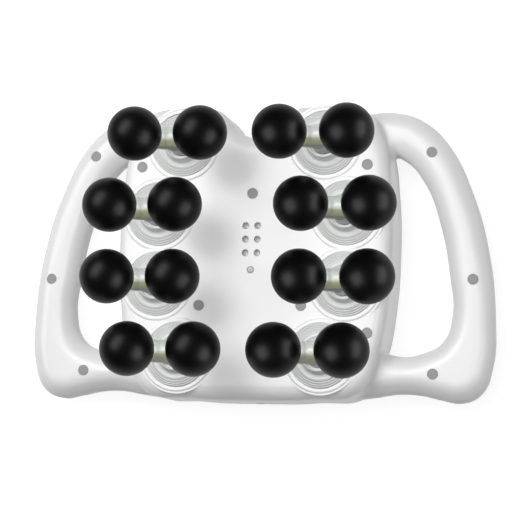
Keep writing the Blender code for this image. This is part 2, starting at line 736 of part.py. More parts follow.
def standoff_places():
    x = MAIN_BOARD[0] / 2 - STANDOFF_RADIUS
    y = MAIN_BOARD[1] / 2 - STANDOFF_RADIUS
    return [(sx * x, sy * y) for sx in (1, -1) for sy in (1, -1)]


def make_drives():
    motor = motor_mesh()
    crank = crankshaft_mesh(head_distance())
    rod = {sign: rod_mesh(sign) for sign in (1, -1)}
    for name, side, rows, first, second, heading in drive_places():
        drive = bpy.data.objects.new(f"drive_{name}", None)
        MASSAGER.objects.link(drive)
        centre = (first + second) / 2
        drive.location = (centre.x, centre.y, MOTOR_AXIS_Z)
        drive.rotation_euler = (0, 0, heading)
        add_part(f"motor_{name}", motor.copy(), "motor_can", drive)
        add_part(f"crankshaft_{name}", crank.copy(), "steel", drive)
        for row, end in zip(rows, (-1, 1)):
            throw = -end * CRANK_RADIUS
            place = (end * head_distance() / 2, throw, 0)
            add_part(f"connecting_rod_{side}{row + 1}", rod[-end].copy(), "grey_nylon", drive, place)


def head_distance():
    return math.hypot(MIDDLE_ROW_X - END_ROW_X, ROW_PITCH)


def motor_mesh():
    """A motor can with a bearing boss at each end and a through bore, its axis along X."""
    half = MOTOR_LENGTH / 2
    tip = half + MOTOR_BOSS_LENGTH
    profile = [
        (MOTOR_BORE, tip), (MOTOR_BOSS_RADIUS, tip), (MOTOR_BOSS_RADIUS, half), (MOTOR_RADIUS, half),
        (MOTOR_RADIUS, -half), (MOTOR_BOSS_RADIUS, -half), (MOTOR_BOSS_RADIUS, -tip), (MOTOR_BORE, -tip),
    ]
    mesh = turned_mesh("motor", profile, MOTOR_STEPS, closed=True)
    mesh.transform(Matrix.Rotation(math.radians(90.0), 4, "Y"))
    return mesh


def crankshaft_mesh(pitch):
    """The rotor shaft along X, with an eccentric at each end, half a turn apart."""
    length = pitch + 2 * ECCENTRIC_WIDTH
    shaft = cylinder_mesh("crankshaft", CRANK_SHAFT_RADIUS, (-length / 2, 0, 0), (length / 2, 0, 0), POST_STEPS)
    obj = add_object("crank_blank", shaft, CUTTERS)
    eccentrics = []
    for end in (-1, 1):
        x = end * pitch / 2
        y = -end * CRANK_RADIUS
        start = (x - ECCENTRIC_WIDTH / 2, y, 0)
        stop = (x + ECCENTRIC_WIDTH / 2, y, 0)
        eccentrics.append(cylinder_mesh("eccentric", ECCENTRIC_RADIUS, start, stop, SMALL_STEPS))
    join(obj, eccentrics)
    mesh = obj.data
    bpy.data.objects.remove(obj)
    return mesh


def arc(radius, centre, start, stop, steps):
    """Points on an arc."""
    points = []
    for index in range(steps + 1):
        angle = start + (stop - start) * index / steps
        points.append((centre[0] + radius * math.cos(angle), centre[1] + radius * math.sin(angle)))
    return points


def circle(radius, centre, steps):
    return arc(radius, centre, 0.0, math.tau, steps)[:-1]


def rod_mesh(throw):
    """A connecting rod from the crank pin to the wrist pin, its bores along X and its flat side square to X.

    Its eye leans back by half the crank radius, so that at both ends of the stroke and at its middle the
    wrist pin is equally far from the eye's centre.
    """
    eye = (-throw * CRANK_RADIUS / 2, ROD_LENGTH)
    waist = ROD_SHANK_WIDTH / 2
    start = math.acos(waist / ROD_BIG_RADIUS)
    big = arc(ROD_BIG_RADIUS, (0, 0), math.pi - start, math.tau + start, SMALL_STEPS - 1)
    open_angle = math.acos(waist / ROD_EYE_RADIUS)
    small = arc(ROD_EYE_RADIUS, eye, -open_angle, math.pi + open_angle, POST_STEPS - 1)
    outline = big + small
    bore = circle(ROD_BORE_RADIUS / math.cos(math.pi / SMALL_STEPS), (0, 0), SMALL_STEPS)
    pin_hole = circle(ROD_EYE_BORE / math.cos(math.pi / POST_STEPS), eye, POST_STEPS)
    mesh = plate_mesh("connecting_rod", [outline, bore, pin_hole], -ROD_THICKNESS / 2, ROD_THICKNESS / 2)
    stand = Matrix(((0, 0, 1, 0), (1, 0, 0, 0), (0, 1, 0, 0), (0, 0, 0, 1)))
    mesh.transform(stand)
    return mesh


def make_heads():
    ball = ball_mesh()
    boot = boot_mesh()
    headings = {}
    for _, side, rows, _, _, heading in drive_places():
        for row in rows:
            headings[f"{side}{row + 1}"] = heading
    for name, sign, place in head_places():
        lift = bpy.data.objects.new(f"lift_{name}", None)
        MASSAGER.objects.link(lift)
        lift.location = place + Vector((0, 0, RING_Z))
        add_part(f"head_arm_{name}", head_arm_mesh(headings[name]), "clear_plastic", lift)
        add_part(f"piston_boot_{name}", boot.copy(), "boot_rubber", lift)
        for end, label in ((sign, "outer"), (-sign, "inner")):
            seat = (end * BALL_SPACING / 2, 0, BALL_RISE)
            obj = add_part(f"massage_ball_{name}_{label}", ball.copy(), "black_rubber", lift, seat)
            obj.rotation_euler = (0, end * STEM_TILT, 0)


def ball_mesh():
    """A ball with a blind socket from below and a small flat round its mouth, about its own Z."""
    bore = STEM_RADIUS + SEAT_GAP
    mouth = SHOULDER_RADIUS + 2 * SEAT_GAP
    last = math.pi - math.asin(mouth / BALL_RADIUS)
    profile = [
        (BALL_RADIUS * math.sin(last * index / BALL_ARCS), BALL_RADIUS * math.cos(last * index / BALL_ARCS))
        for index in range(BALL_ARCS + 1)
    ]
    mouth_z = profile[-1][1]
    socket_top = mouth_z + STEM_IN_BALL + SEAT_GAP
    profile += [(bore, mouth_z), (bore, socket_top), (0.0, socket_top)]
    profile[0] = (0.0, BALL_RADIUS)
    return turned_mesh("massage_ball", profile, BALL_STEPS)


def boot_mesh():
    """A corrugated boot: flange in the housing ring, two folds and a raised collar round the shaft."""
    inner = (SHAFT_RADIUS + SEAT_GAP) / math.cos(math.pi / ROUND_STEPS)
    collar = inner + BOOT_COLLAR_WALL
    collar_foot = BOOT_RISE - BOOT_COLLAR_HEIGHT
    flange_bottom = SEAT_GAP
    flange_top = SEAT_GAP + BOOT_FLANGE
    span = BOOT_RADIUS - collar
    ridge_share, valley_share = 0.42, 0.22
    profile = [
        (inner, BOOT_RISE), (collar, BOOT_RISE), (collar, collar_foot),
        (collar + valley_share * span, collar_foot - BOOT_SKIN),
        (collar + ridge_share * span, collar_foot),
        (BOOT_RADIUS, flange_top), (BOOT_RADIUS, flange_bottom),
        (HOUSING_BORE_RADIUS + SEAT_GAP, flange_bottom),
        (inner, collar_foot - 2 * BOOT_SKIN),
    ]
    return turned_mesh("piston_boot", profile, ROUND_STEPS, closed=True)


def head_arm_mesh(heading):
    """Shaft with a forked foot, a cross bar and two stems that turn up into the balls."""
    top = BAR_RISE
    foot = WRIST_Z - FORK_TOE - RING_Z
    arm = add_object("arm_blank", cylinder_mesh("shaft", SHAFT_RADIUS, (0, 0, foot), (0, 0, top), SLEEVE_STEPS), CUTTERS)
    join(arm, [bar_mesh()])
    slot_top = FORK_TOP_Z - RING_Z
    slot_bottom = foot - OVERRUN
    slot_size = (SLOT_WIDTH, 2 * SHAFT_RADIUS + 2 * OVERRUN, slot_top - slot_bottom)
    slot = box_mesh("slot", slot_size, (0, 0, (slot_top + slot_bottom) / 2))
    turn = Matrix.Rotation(heading, 4, "Z")
    slot.transform(turn)
    cut(arm, [slot])
    reach = SLOT_WIDTH / 2 + OVERRUN
    pin_z = WRIST_Z - RING_Z
    pin = cylinder_mesh("pin", WRIST_PIN_RADIUS, (-reach, 0, pin_z), (reach, 0, pin_z), 6)
    pin.transform(turn)
    join(arm, [pin])
    mesh = arm.data
    bpy.data.objects.remove(arm)
    return mesh


def bar_mesh():
    """The cross bar and its stems, in one tube that narrows to the sockets."""
    ball_x = BALL_SPACING / 2
    mouth = math.sqrt(BALL_RADIUS**2 - (SHOULDER_RADIUS + 2 * SEAT_GAP) ** 2)

    def on_stem(distance):
        """The point on the right-hand stem's axis at this distance from the ball's centre."""
        x = ball_x - distance * math.sin(STEM_TILT)
        z = BALL_RISE - distance * math.cos(STEM_TILT)
        return (x, 0, z)

    tip = on_stem(mouth - STEM_IN_BALL)
    shoulder = mouth + SEAT_GAP
    step = WELD * 10
    bend = on_stem(shoulder + SHOULDER_RADIUS)
    right = [
        (tip, STEM_RADIUS), (on_stem(shoulder), STEM_RADIUS), (on_stem(shoulder + step), SHOULDER_RADIUS),
        ((bend[0], 0, (bend[2] + BAR_RISE) / 2 + SEAT_GAP), (SHOULDER_RADIUS + BAR_RADIUS) / 2),
    ]
    left = [((-x, y, z), radius) for (x, y, z), radius in right]
    knots = left + [((0, 0, BAR_RISE), BAR_RADIUS)] + right[::-1]
    path, radii = zip(*knots)
    return tube_mesh("bar", path, radii)


def make_electronics():
    board_y = 0.0
    board = box_mesh("main_board", (*MAIN_BOARD, BOARD_THICKNESS), (0, board_y, BOARD_Z + BOARD_THICKNESS / 2))
    main_board = add_part("main_board", board, "board_green")
    relief = upright(
        POST_RADIUS + SEAT_GAP, 0.0, TOP_SCREW_Y, BOARD_Z - OVERRUN, BOARD_Z + BOARD_THICKNESS + OVERRUN, POST_STEPS
    )
    cut(main_board, [relief])
    finish(main_board, "board_green")

    bottom = WALL + SEAT_GAP
    pack = box_mesh("battery_pack", BATTERY, (0, BATTERY_Y, bottom + BATTERY[2] / 2))
    battery = add_part("battery_pack", pack, "cell_wrap")
    bevel = battery.modifiers.new("rounded", "BEVEL")
    bevel.width = BATTERY_EDGE
    bevel.segments = 1
    bevel.limit_method = "ANGLE"
    apply_modifiers(battery)
    finish(battery, "cell_wrap")

    size = (PANEL[0], PANEL[1], BOARD_THICKNESS)
    blank = box_mesh("control_board", size, (0, PANEL_Y, CONTROL_BOARD_Z + BOARD_THICKNESS / 2))
    control_board = add_part("control_board", blank, "board_green")
    switches = [
        upright(SWITCH_RADIUS, x, y, CONTROL_BOARD_Z - SWITCH_HEIGHT, CONTROL_BOARD_Z + OVERRUN, POST_STEPS)
        for x, y in button_places()
    ]
    join(control_board, switches)
    finish(control_board, "board_green")


def button_places():
    y = PANEL_Y - BUTTON_DROP
    return [(index * BUTTON_PITCH, y) for index in (-1, 0, 1)]


def make_control_panel():
    """A panel seated on the rear floor from inside, with a recess for the display and three button holes."""
    face = box_mesh("control_panel", (*PANEL, PANEL_THICKNESS), (0, PANEL_Y, PANEL_Z + PANEL_THICKNESS / 2))
    panel = add_part("control_panel", face, "dark_panel")
    flange_size = (PANEL[0] + 2 * PANEL_FLANGE, PANEL[1] + 2 * PANEL_FLANGE, PANEL_FLANGE_THICKNESS)
    flange_bottom = WALL + SEAT_GAP
    flange = box_mesh("flange", flange_size, (0, PANEL_Y, flange_bottom + PANEL_FLANGE_THICKNESS / 2))
    join(panel, [flange])
    hole_top = PANEL_TOP_Z + OVERRUN
    holes = [
        upright(BUTTON_RADIUS + SEAT_GAP, x, y, PANEL_Z - OVERRUN, hole_top, SMALL_STEPS)
        for x, y in button_places()
    ]
    display_size = (*DISPLAY, DISPLAY_DEPTH + OVERRUN)
    display_z = PANEL_Z + DISPLAY_DEPTH - (DISPLAY_DEPTH + OVERRUN) / 2
    holes.append(box_mesh("display", display_size, (0, PANEL_Y + DISPLAY_RISE, display_z)))
    cut(panel, holes)
    finish(panel, "dark_panel")

    for name, (x, y) in zip(BUTTON_NAMES, button_places()):
        cap_bottom = PANEL_Z - BUTTON_PROUD
        flange_foot = PANEL_TOP_Z + SEAT_GAP
        flange_radius = BUTTON_RADIUS + BUTTON_FLANGE
        profile = [
            (0.0, BUTTON_TOP_Z), (flange_radius, BUTTON_TOP_Z), (flange_radius, flange_foot),
            (BUTTON_RADIUS, flange_foot), (BUTTON_RADIUS, cap_bottom), (0.0, cap_bottom),
        ]
        button = turned_mesh(name, profile, SMALL_STEPS)
        add_part(name, button, "button_grey", place=(x, y, 0))


def make_power_socket():
    """A barrel socket seated in the lower wall, open downwards, with its centre pin."""
    mouth = 0.0
    flange_start = -WALL - SEAT_GAP
    flange_stop = flange_start - SOCKET_FLANGE
    profile = [
        (0.0, mouth - SEAT_GAP), (SOCKET_PIN, mouth - SEAT_GAP - SOCKET_PIN), (SOCKET_PIN, mouth - SOCKET_DEPTH),
        (SOCKET_BORE, mouth - SOCKET_DEPTH), (SOCKET_BORE, mouth), (SOCKET_RADIUS, mouth),
        (SOCKET_RADIUS, flange_start), (SOCKET_FLANGE_RADIUS, flange_start),
        (SOCKET_FLANGE_RADIUS, flange_stop), (SOCKET_RADIUS, flange_stop),
        (SOCKET_RADIUS, -SOCKET_LENGTH), (0.0, -SOCKET_LENGTH),
    ]
    mesh = turned_mesh("dc_socket", profile, SLEEVE_STEPS)
    mesh.transform(Matrix.Rotation(math.radians(90.0), 4, "X"))
    add_part("dc_socket", mesh, "dark_panel", place=(0, -HALF_HEIGHT, SOCKET_Z))


def make_indicator_lens():
    """A light pipe from the lamp on the main board to the front face, with a collar under the face."""
    foot = BOARD_Z + BOARD_THICKNESS + SEAT_GAP
    collar_top = CEILING_Z - SEAT_GAP
    collar_foot = collar_top - LENS_COLLAR_HEIGHT
    collar_radius = LENS_RADIUS + LENS_COLLAR
    tip = RING_Z + LENS_PROUD
    profile = [
        (0.0, tip), (LENS_RADIUS, tip - LENS_PROUD), (LENS_RADIUS, collar_top), (collar_radius, collar_top),
        (collar_radius, collar_foot), (LENS_RADIUS, collar_foot), (LENS_RADIUS, foot), (0.0, foot),
    ]
    mesh = turned_mesh("indicator_lens", profile, SMALL_STEPS)
    add_part("indicator_lens", mesh, "pale_lens", place=(0, LENS_Y, 0))


clear_scene()
MASSAGER = make_collection("percussion_massager")
CUTTERS = make_collection("cutters")
make_front_housing()
make_rear_housing()
make_inner_frame()
make_drives()
make_heads()
make_electronics()
make_control_panel()
make_power_socket()
make_indicator_lens()
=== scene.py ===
"""Studio scene of a percussion massager with two handles and eight twin-ball heads.

Each visible piece is built over its solid: the two shells of the case, the corrugated boots, the clear
T-arms, the rubber balls, the screw plugs, the vents, the lens, the rear panel and the power socket.
The drive and the boards inside keep their solids and get their finishes here.
"""

import json
import math

import bmesh
import bpy
from mathutils import Matrix, Vector
from mathutils.bvhtree import BVHTree
from mathutils.kdtree import KDTree

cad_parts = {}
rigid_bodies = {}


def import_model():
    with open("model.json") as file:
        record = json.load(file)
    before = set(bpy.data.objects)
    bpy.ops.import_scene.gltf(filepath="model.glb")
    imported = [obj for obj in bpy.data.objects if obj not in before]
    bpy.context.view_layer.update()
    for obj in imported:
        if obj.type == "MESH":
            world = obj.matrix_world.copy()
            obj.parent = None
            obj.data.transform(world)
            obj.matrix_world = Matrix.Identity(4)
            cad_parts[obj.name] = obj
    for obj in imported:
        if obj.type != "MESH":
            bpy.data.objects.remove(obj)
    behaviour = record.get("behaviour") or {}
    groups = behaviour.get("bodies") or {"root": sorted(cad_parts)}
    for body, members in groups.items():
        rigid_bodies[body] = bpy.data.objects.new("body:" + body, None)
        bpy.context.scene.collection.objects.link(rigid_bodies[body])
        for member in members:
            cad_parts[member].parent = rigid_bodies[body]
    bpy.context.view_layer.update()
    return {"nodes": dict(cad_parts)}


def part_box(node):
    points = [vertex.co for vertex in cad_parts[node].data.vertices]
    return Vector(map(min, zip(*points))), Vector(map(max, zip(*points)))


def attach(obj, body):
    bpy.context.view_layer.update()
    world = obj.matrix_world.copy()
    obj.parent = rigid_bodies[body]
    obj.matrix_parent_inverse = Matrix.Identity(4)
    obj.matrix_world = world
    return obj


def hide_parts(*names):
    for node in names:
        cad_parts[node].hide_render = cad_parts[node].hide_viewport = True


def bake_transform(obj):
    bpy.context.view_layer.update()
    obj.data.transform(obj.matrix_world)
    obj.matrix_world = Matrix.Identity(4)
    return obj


bl_info = {
    "name": "Percussion Massager Scene",
    "version": (1, 0, 0),
    "blender": (4, 5, 0),
    "location": "View3D > Sidebar > Massager",
    "description": "Builds the case, heads, boots, balls and studio of a percussion massager",
    "category": "Add Mesh",
}

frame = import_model()

MM = 0.001

# Outlines and places in shares of the half width and the half height. The body's and the handles'
# outlines are right halves from the top centre down, and the finger hole is the right one.
BODY_OUTLINE_SHARES = (
    (0.0, 0.787), (0.065, 0.80), (0.155, 0.845), (0.215, 0.92), (0.29, 0.982), (0.42, 0.997), (0.57, 1.0),
    (0.80, 0.955), (0.925, 0.76), (0.985, 0.42),
    (1.0, 0.03), (0.975, -0.38), (0.915, -0.68), (0.79, -0.935), (0.42, -0.99), (0.0, -1.0),
)
HANDLE_OUTLINE_SHARES = (
    (0.0, 0.60), (0.45, 0.975), (0.59, 0.985), (0.70, 0.915), (0.80, 0.755), (0.89, 0.47), (0.966, 0.06),
    (1.0, -0.42), (0.992, -0.74), (0.945, -0.925), (0.865, -0.985), (0.78, -0.965), (0.69, -0.935),
    (0.60, -0.93), (0.50, -0.955), (0.42, -0.965), (0.28, -0.90), (0.0, -0.80),
)
FINGER_HOLE_SHARES = (
    (0.50, 0.64), (0.56, 0.69), (0.61, 0.66), (0.692, 0.515), (0.772, 0.18), (0.81, -0.148),
    (0.823, -0.38), (0.785, -0.575), (0.70, -0.655), (0.60, -0.675), (0.50, -0.60), (0.48, 0.0),
)
BODY_SCREW_SHARES = ((0.825, 0.578), (0.371, -0.369), (0.847, -0.549))
HANDLE_SCREW_SHARES = ((0.734, 0.695), (0.914, -0.166), (0.753, -0.80))

HEADS = [f"{side}{row}" for side in "lr" for row in (1, 2, 3, 4)]
DRIVES = ("l_upper", "l_lower", "r_upper", "r_lower")

# Places and sizes that the solids fix
FULL_WIDTH = 378.0 * MM
FULL_HEIGHT = 235.0 * MM
FACE_Z = 68.0 * MM
PARTING_Z = 27.0 * MM
BOSS_RADIUS = 27.8 * MM
BOSS_TOP_Z = FACE_Z + 1.0 * MM
RING_SEAT = 25.9 * MM
BORE_RADIUS = 22.0 * MM
BOOT_RISE = 10.0 * MM
BALL_SPACING = 52.6 * MM
ARM_FOOT = -24.0 * MM
FORK_TOP = -9.8 * MM
SLOT_HALF = 3.4 * MM
WRIST_PIN = 1.5 * MM
WRIST_HEIGHT = -18.0 * MM
POST_RADIUS = 4.5 * MM
FRAME_Z = 52.0 * MM
FRAME_TOP_Z = 55.3 * MM
TOP_SCREW_Y = 45.8 * MM
LENS_Y = -15.1 * MM
LENS_RADIUS = 2.8 * MM
LENS_HOLE = 2.9 * MM
LENS_FLANGE = LENS_RADIUS + 1.0 * MM
PLUG_DEPTH = 0.9 * MM
WELL_GAP = 0.2 * MM
PANEL = (76.0 * MM, 34.0 * MM)
PANEL_Y = 17.0 * MM
FLANGE_Z = 2.8 * MM
DISPLAY = (34.0 * MM, 12.0 * MM)
DISPLAY_RISE = 7.0 * MM
BUTTONS = ("power_button", "mode_button", "speed_button")
SLOT_LENGTH = 26.0 * MM
SLOT_COUNT = 4
SLOT_Y = 66.0 * MM
SOCKET_Z = 20.0 * MM
SOCKET_AXIS = ((0.0, -FULL_HEIGHT / 2, SOCKET_Z), (0.0, -FULL_HEIGHT, SOCKET_Z))
SOCKET_RADIUS = 4.4 * MM
SOCKET_HOLE = 4.7 * MM
SOCKET_BORE = 2.9 * MM
SOCKET_PIN = 1.0 * MM

# Closer than the solids' slots, so that the last one stays off the rounded shoulder
SLOT_PITCH = 4.4 * MM

# How far a cutter reaches past a surface, into the open and through a wall
CUT_PAST = 1.0 * MM
CUT_CLEAR = 5.0 * MM
CUT_THROUGH = 10.0 * MM

# Grain of the arms' skin, smoothing passes and how steeply the fillet's smoothing sets in
ARM_VOXEL = 0.6 * MM
ARM_PASSES = 18
SKIN_PASSES = 4
FILLET_GAIN = 1.6

# Play round an arm's shoulder and stem inside a ball
MOUTH_PLAY = 0.6 * MM
STEM_PLAY = 0.3 * MM

# Edges that bend more than this look sharp
SHARP_ANGLE = math.radians(38.0)
BOOT_SHARP_ANGLE = math.radians(50.0)
WELD = 0.01 * MM
TINY = 1e-7

# Radius and height of a boot's trough and of its three ridges, from the inside out
BOOT_TROUGH = ((15.4 * MM, 3.2 * MM), (17.0 * MM, 2.9 * MM), (18.8 * MM, 3.5 * MM))
BOOT_RIDGES = ((20.8 * MM, 2.9 * MM), (22.6 * MM, 2.2 * MM), (24.2 * MM, 1.5 * MM))

# Name, place in metres and kind of the lamps that light only the balls of one side
BALL_LAMPS = (
    ("l_high", (-2.14, 1.42, 3.69), "band"), ("l_low", (3.64, -1.49, 1.47), "square"),
    ("r_high", (4.01, 0.17, 1.23), "band"), ("r_low", (-2.28, -1.16, 3.45), "square"),
)


def number(name, default, text, **settings):
    """A number property; the helpers below give it a unit."""
    return bpy.props.FloatProperty(name=name, description=text, default=default, **settings)


def millimetres(name, default, text):
    """A length property, shown in the sidebar in scene units."""
    return number(name, default * MM, text, min=0.0, unit="LENGTH", precision=5)


def metres(name, default, text):
    return number(name, default, text, min=0.0, unit="LENGTH")


def watts(name, default, text):
    return number(name, default, text, min=0.0, unit="POWER")


def degrees(name, default, text):
    return number(name, math.radians(default), text, subtype="ANGLE")


def tint(name, default, text):
    return bpy.props.FloatVectorProperty(
        name=name, description=text, default=default, size=3, min=0.0, max=1.0, subtype="COLOR"
    )


def location(name, default, text):
    return bpy.props.FloatVectorProperty(name=name, description=text, default=default, subtype="TRANSLATION")


class MassagerCase(bpy.types.PropertyGroup):
    """Sizes and colours of the two shells, their screws and the vents."""

    body_width: millimetres("Body Width", 222.0, "Width of the body between the finger holes")
    body_edge: millimetres("Body Edge", 13.0, "Radius of the body's rounded shoulder")
    grip_edge: millimetres("Grip Edge", 12.3, "Radius of the handles' rounded edges")
    handle_depth: millimetres("Handle Depth", 34.0, "Thickness of the handles, front to back")
    crown: number("Crown", 0.34, "How much thinner the handles are at their edges", min=0.0, max=1.0,
                  subtype="FACTOR")
    crown_reach: millimetres("Crown Reach", 17.0, "How far the handles' crown reaches in from their edges")
    wall: millimetres("Wall", 2.5, "Thickness of the body's walls")
    voxel: millimetres("Voxel", 1.3, "Grain of the remesh that joins the body to the handles")
    crease_reach: millimetres("Crease Reach", 4.5, "How far the fillet between body and handle spreads")
    crease_passes: bpy.props.IntProperty(name="Crease Passes", description="Smoothing passes in the fillet",
                                         default=12, min=0)
    boss_flare: millimetres("Boss Flare", 5.5, "How much wider a head's boss is at its foot")
    boss_drop: millimetres("Boss Drop", 9.0, "Height of a head's flared boss")
    plug_radius: millimetres("Plug Radius", 4.2, "Radius of a screw plug")
    plug_dip: millimetres("Plug Dip", 0.25, "How far a screw plug lies below the surface")
    vent_radius: millimetres("Vent Radius", 2.5, "Radius of a vent hole")
    vent_spacing: millimetres("Vent Spacing", 9.6, "Distance between the two columns of vents")
    vent_pitch: millimetres("Vent Pitch", 10.8, "Distance between the rows of vents")
    vent_top: millimetres("Vent Top", 20.0, "Height of the top row of vents above the middle")
    white: tint("White", (0.82, 0.82, 0.82), "Colour of the satin shells")
    grey: tint("Plug Grey", (0.29, 0.29, 0.29), "Colour of the screw plugs")


class MassagerHeads(bpy.types.PropertyGroup):
    """Sizes and colours of the boots, the arms and the balls."""

    collar: millimetres("Collar", 14.3, "Outer radius of a boot's raised collar")
    shaft: millimetres("Shaft", 10.0, "Radius of a head's shaft")
    bar: millimetres("Bar", 9.0, "Radius of a T-arm's bar at its middle")
    shoulder: millimetres("Shoulder", 7.0, "Radius of a T-arm where it meets a ball")
    stem: millimetres("Stem", 5.0, "Radius of the stem inside a ball")
    stem_length: millimetres("Stem Length", 12.0, "Length of the stem inside a ball")
    stem_tilt: degrees("Stem Tilt", 40.0, "Lean of a stem from the stroke")
    ball: millimetres("Ball", 21.2, "Radius of a ball")
    bar_rise: millimetres("Bar Rise", 28.0, "Height of a T-arm's bar above the front face")
    ball_rise: millimetres("Ball Rise", 50.0, "Height of a ball's centre above the front face")
    rubber: tint("Ball Black", (0.0015, 0.0015, 0.0015), "Colour of the balls")
    boot: tint("Boot White", (0.60, 0.61, 0.605), "Colour of the boots")
    # Arm tints: the plastic's own pale tint, then darker tints painted on the bar's lower side and on the
    # shaft under it as painted shade
    clear_upper: tint("Arm Light", (0.78, 0.82, 0.77), "Tint of the bar's upper moulding")
    lower_painted_shade: tint("Arm Painted Shade", (0.42, 0.44, 0.29), "Tint of the bar's lower moulding")
    shaft_painted_shade: tint("Shaft Painted Shade", (0.20, 0.235, 0.215), "Tint of the arm's shaft")


class MassagerRear(bpy.types.PropertyGroup):
    """Sizes and colours of the rear panel and the power socket."""

    button_radius: millimetres("Button Radius", 5.0, "Radius of a push button")
    panel_corner: millimetres("Panel Corner", 4.0, "Corner radius of the control panel")
    slot_width: millimetres("Slot Width", 2.4, "Width of a cooling slot")
    dark: tint("Panel Black", (0.012, 0.013, 0.015), "Colour of the control panel")
    key: tint("Button Grey", (0.22, 0.22, 0.23), "Colour of the push buttons")


class MassagerStage(bpy.types.PropertyGroup):
    """The floor, the camera and the lamps."""

    yaw: degrees("Yaw", 13.10, "Camera's turn to the right of the front")
    pitch: degrees("Pitch", 7.30, "Camera's drop below the front")
    roll: degrees("Roll", 1.63, "Camera's roll")
    distance: millimetres("Distance", 1598.0, "Camera's distance from the point that it looks at")
    target: location("Target", (9.6 * MM, -8.6 * MM, 68.0 * MM), "Point that the camera looks at")
    lens: number("Lens", 139.3, "Focal length on a 36 mm sensor", unit="CAMERA")
    floor: tint("Floor", (0.28, 0.28, 0.28), "Colour of the floor")
    floor_glow: number("Floor Glow", 0.85, "Light that the floor shows the camera", min=0.0)
    key_place: location("Key Place", (-1.3, 1.75, 3.75), "Place of the key softbox")
    key_size: metres("Key Size", 2.0, "Width of the key softbox")
    key_power: watts("Key Power", 74.0, "Power of the key softbox")
    front_place: location("Front Place", (0.03, 0.02, 1.0), "Place of the front softbox")
    front_size: metres("Front Size", 0.8, "Width of the front softbox")
    front_power: watts("Front Power", 5.2, "Power of the front softbox")
    side_size: metres("Side Size", 1.8, "Width of the softboxes at the two sides")
    side_power: watts("Side Power", 36.0, "Power of the softboxes at the two sides")
    east_place: location("East Place", (3.3, -0.2, 2.0), "Place of the softbox at the right")
    west_place: location("West Place", (-3.3, 0.7, 1.95), "Place of the softbox at the left")
    strip_length: metres("Strip Length", 3.0, "Length of the strip lamps")
    strip_width: metres("Strip Width", 0.7, "Width of the strip lamps")
    left_place: location("Left Place", (-2.6, 0.9, 3.2), "Place of the left strip lamp")
    left_power: watts("Left Power", 34.0, "Power of the left strip lamp")
    right_place: location("Right Place", (1.9, 0.2, 3.6), "Place of the right strip lamp")
    right_power: watts("Right Power", 44.0, "Power of the right strip lamp")
    band_length: metres("Band Length", 4.2, "Length of the balls' band lamps")
    band_width: metres("Band Width", 2.6, "Width of the balls' band lamps")
    band_power: watts("Band Power", 330.0, "Power of the balls' band lamps")
    square_size: metres("Square Size", 3.3, "Width of the balls' square lamps")
    square_power: watts("Square Power", 330.0, "Power of the balls' square lamps")
    sky: number("Sky", 0.04, "Strength of the surrounding light", min=0.0)


def mesh_from(shape, name):
    """Write a bmesh to a new mesh and free it."""
    mesh = bpy.data.meshes.new(name)
    shape.to_mesh(mesh)
    shape.free()
    return mesh


def link(name, mesh):
    obj = bpy.data.objects.new(name, mesh)
    bpy.context.scene.collection.objects.link(obj)
    return obj


def evaluated(obj):
    """A new mesh of the object with its modifiers applied."""
    bpy.context.view_layer.update()
    graph = bpy.context.evaluated_depsgraph_get()
    return bpy.data.meshes.new_from_object(obj.evaluated_get(graph))


def apply_all(obj):
    mesh = evaluated(obj)
    obj.modifiers.clear()
    obj.data = mesh


def merged(name, meshes):
    """One mesh of several that don't overlap."""
    shape = bmesh.new()
    for mesh in meshes:
        shape.from_mesh(mesh)
    return mesh_from(shape, name)


def moved(mesh, matrix):
    copy = mesh.copy()
    copy.transform(matrix)
    return copy


def placed(mesh, x, y, z=0.0):
    return moved(mesh, Matrix.Translation((x, y, z)))


def repeated(name, mesh, spots, z=0.0):
    """One mesh of copies of a small one, at each of these places."""
    return merged(name, [placed(mesh, spot[0], spot[1], z) for spot in spots])


def carve(obj, mesh, operation="DIFFERENCE"):
    """Boolean an object with one mesh in its own frame, and apply the result."""
    cutter = link("cutter", mesh)
    cutter.hide_render = True
    cutter.display_type = "WIRE"
    modifier = obj.modifiers.new("carve", "BOOLEAN")
    modifier.operation = operation
    modifier.object = cutter
    modifier.solver = "MANIFOLD"
    apply_all(obj)
    bpy.data.objects.remove(cutter)


def box(name, low, high):
    shape = bmesh.new()
    bmesh.ops.create_cube(shape, size=1.0)
    low = Vector(low)
    high = Vector(high)
    bmesh.ops.scale(shape, vec=high - low, verts=shape.verts)
    bmesh.ops.translate(shape, vec=(low + high) / 2, verts=shape.verts)
    return mesh_from(shape, name)


def turned(name, profile, steps, closed=False):
    """Turn a profile of (radius, height) points about Z into a welded mesh."""
    shape = bmesh.new()
    rings = []
    for radius, height in profile:
        if radius < TINY:
            rings.append([shape.verts.new((0.0, 0.0, height))])
            continue
        turns = [math.tau * index / steps for index in range(steps)]
        rings.append([shape.verts.new((radius * math.cos(a), radius * math.sin(a), height)) for a in turns])
    pairs = list(zip(rings, rings[1:]))
    if closed:
        pairs.append((rings[-1], rings[0]))
    for upper, lower in pairs:
        for index in range(steps):
            after = (index + 1) % steps
            corners = [upper[index % len(upper)], upper[after % len(upper)],
                       lower[after % len(lower)], lower[index % len(lower)]]
            corners = list(dict.fromkeys(corners))
            if len(corners) > 2:
                shape.faces.new(corners)
    bmesh.ops.recalc_face_normals(shape, faces=shape.faces)
    return mesh_from(shape, name)


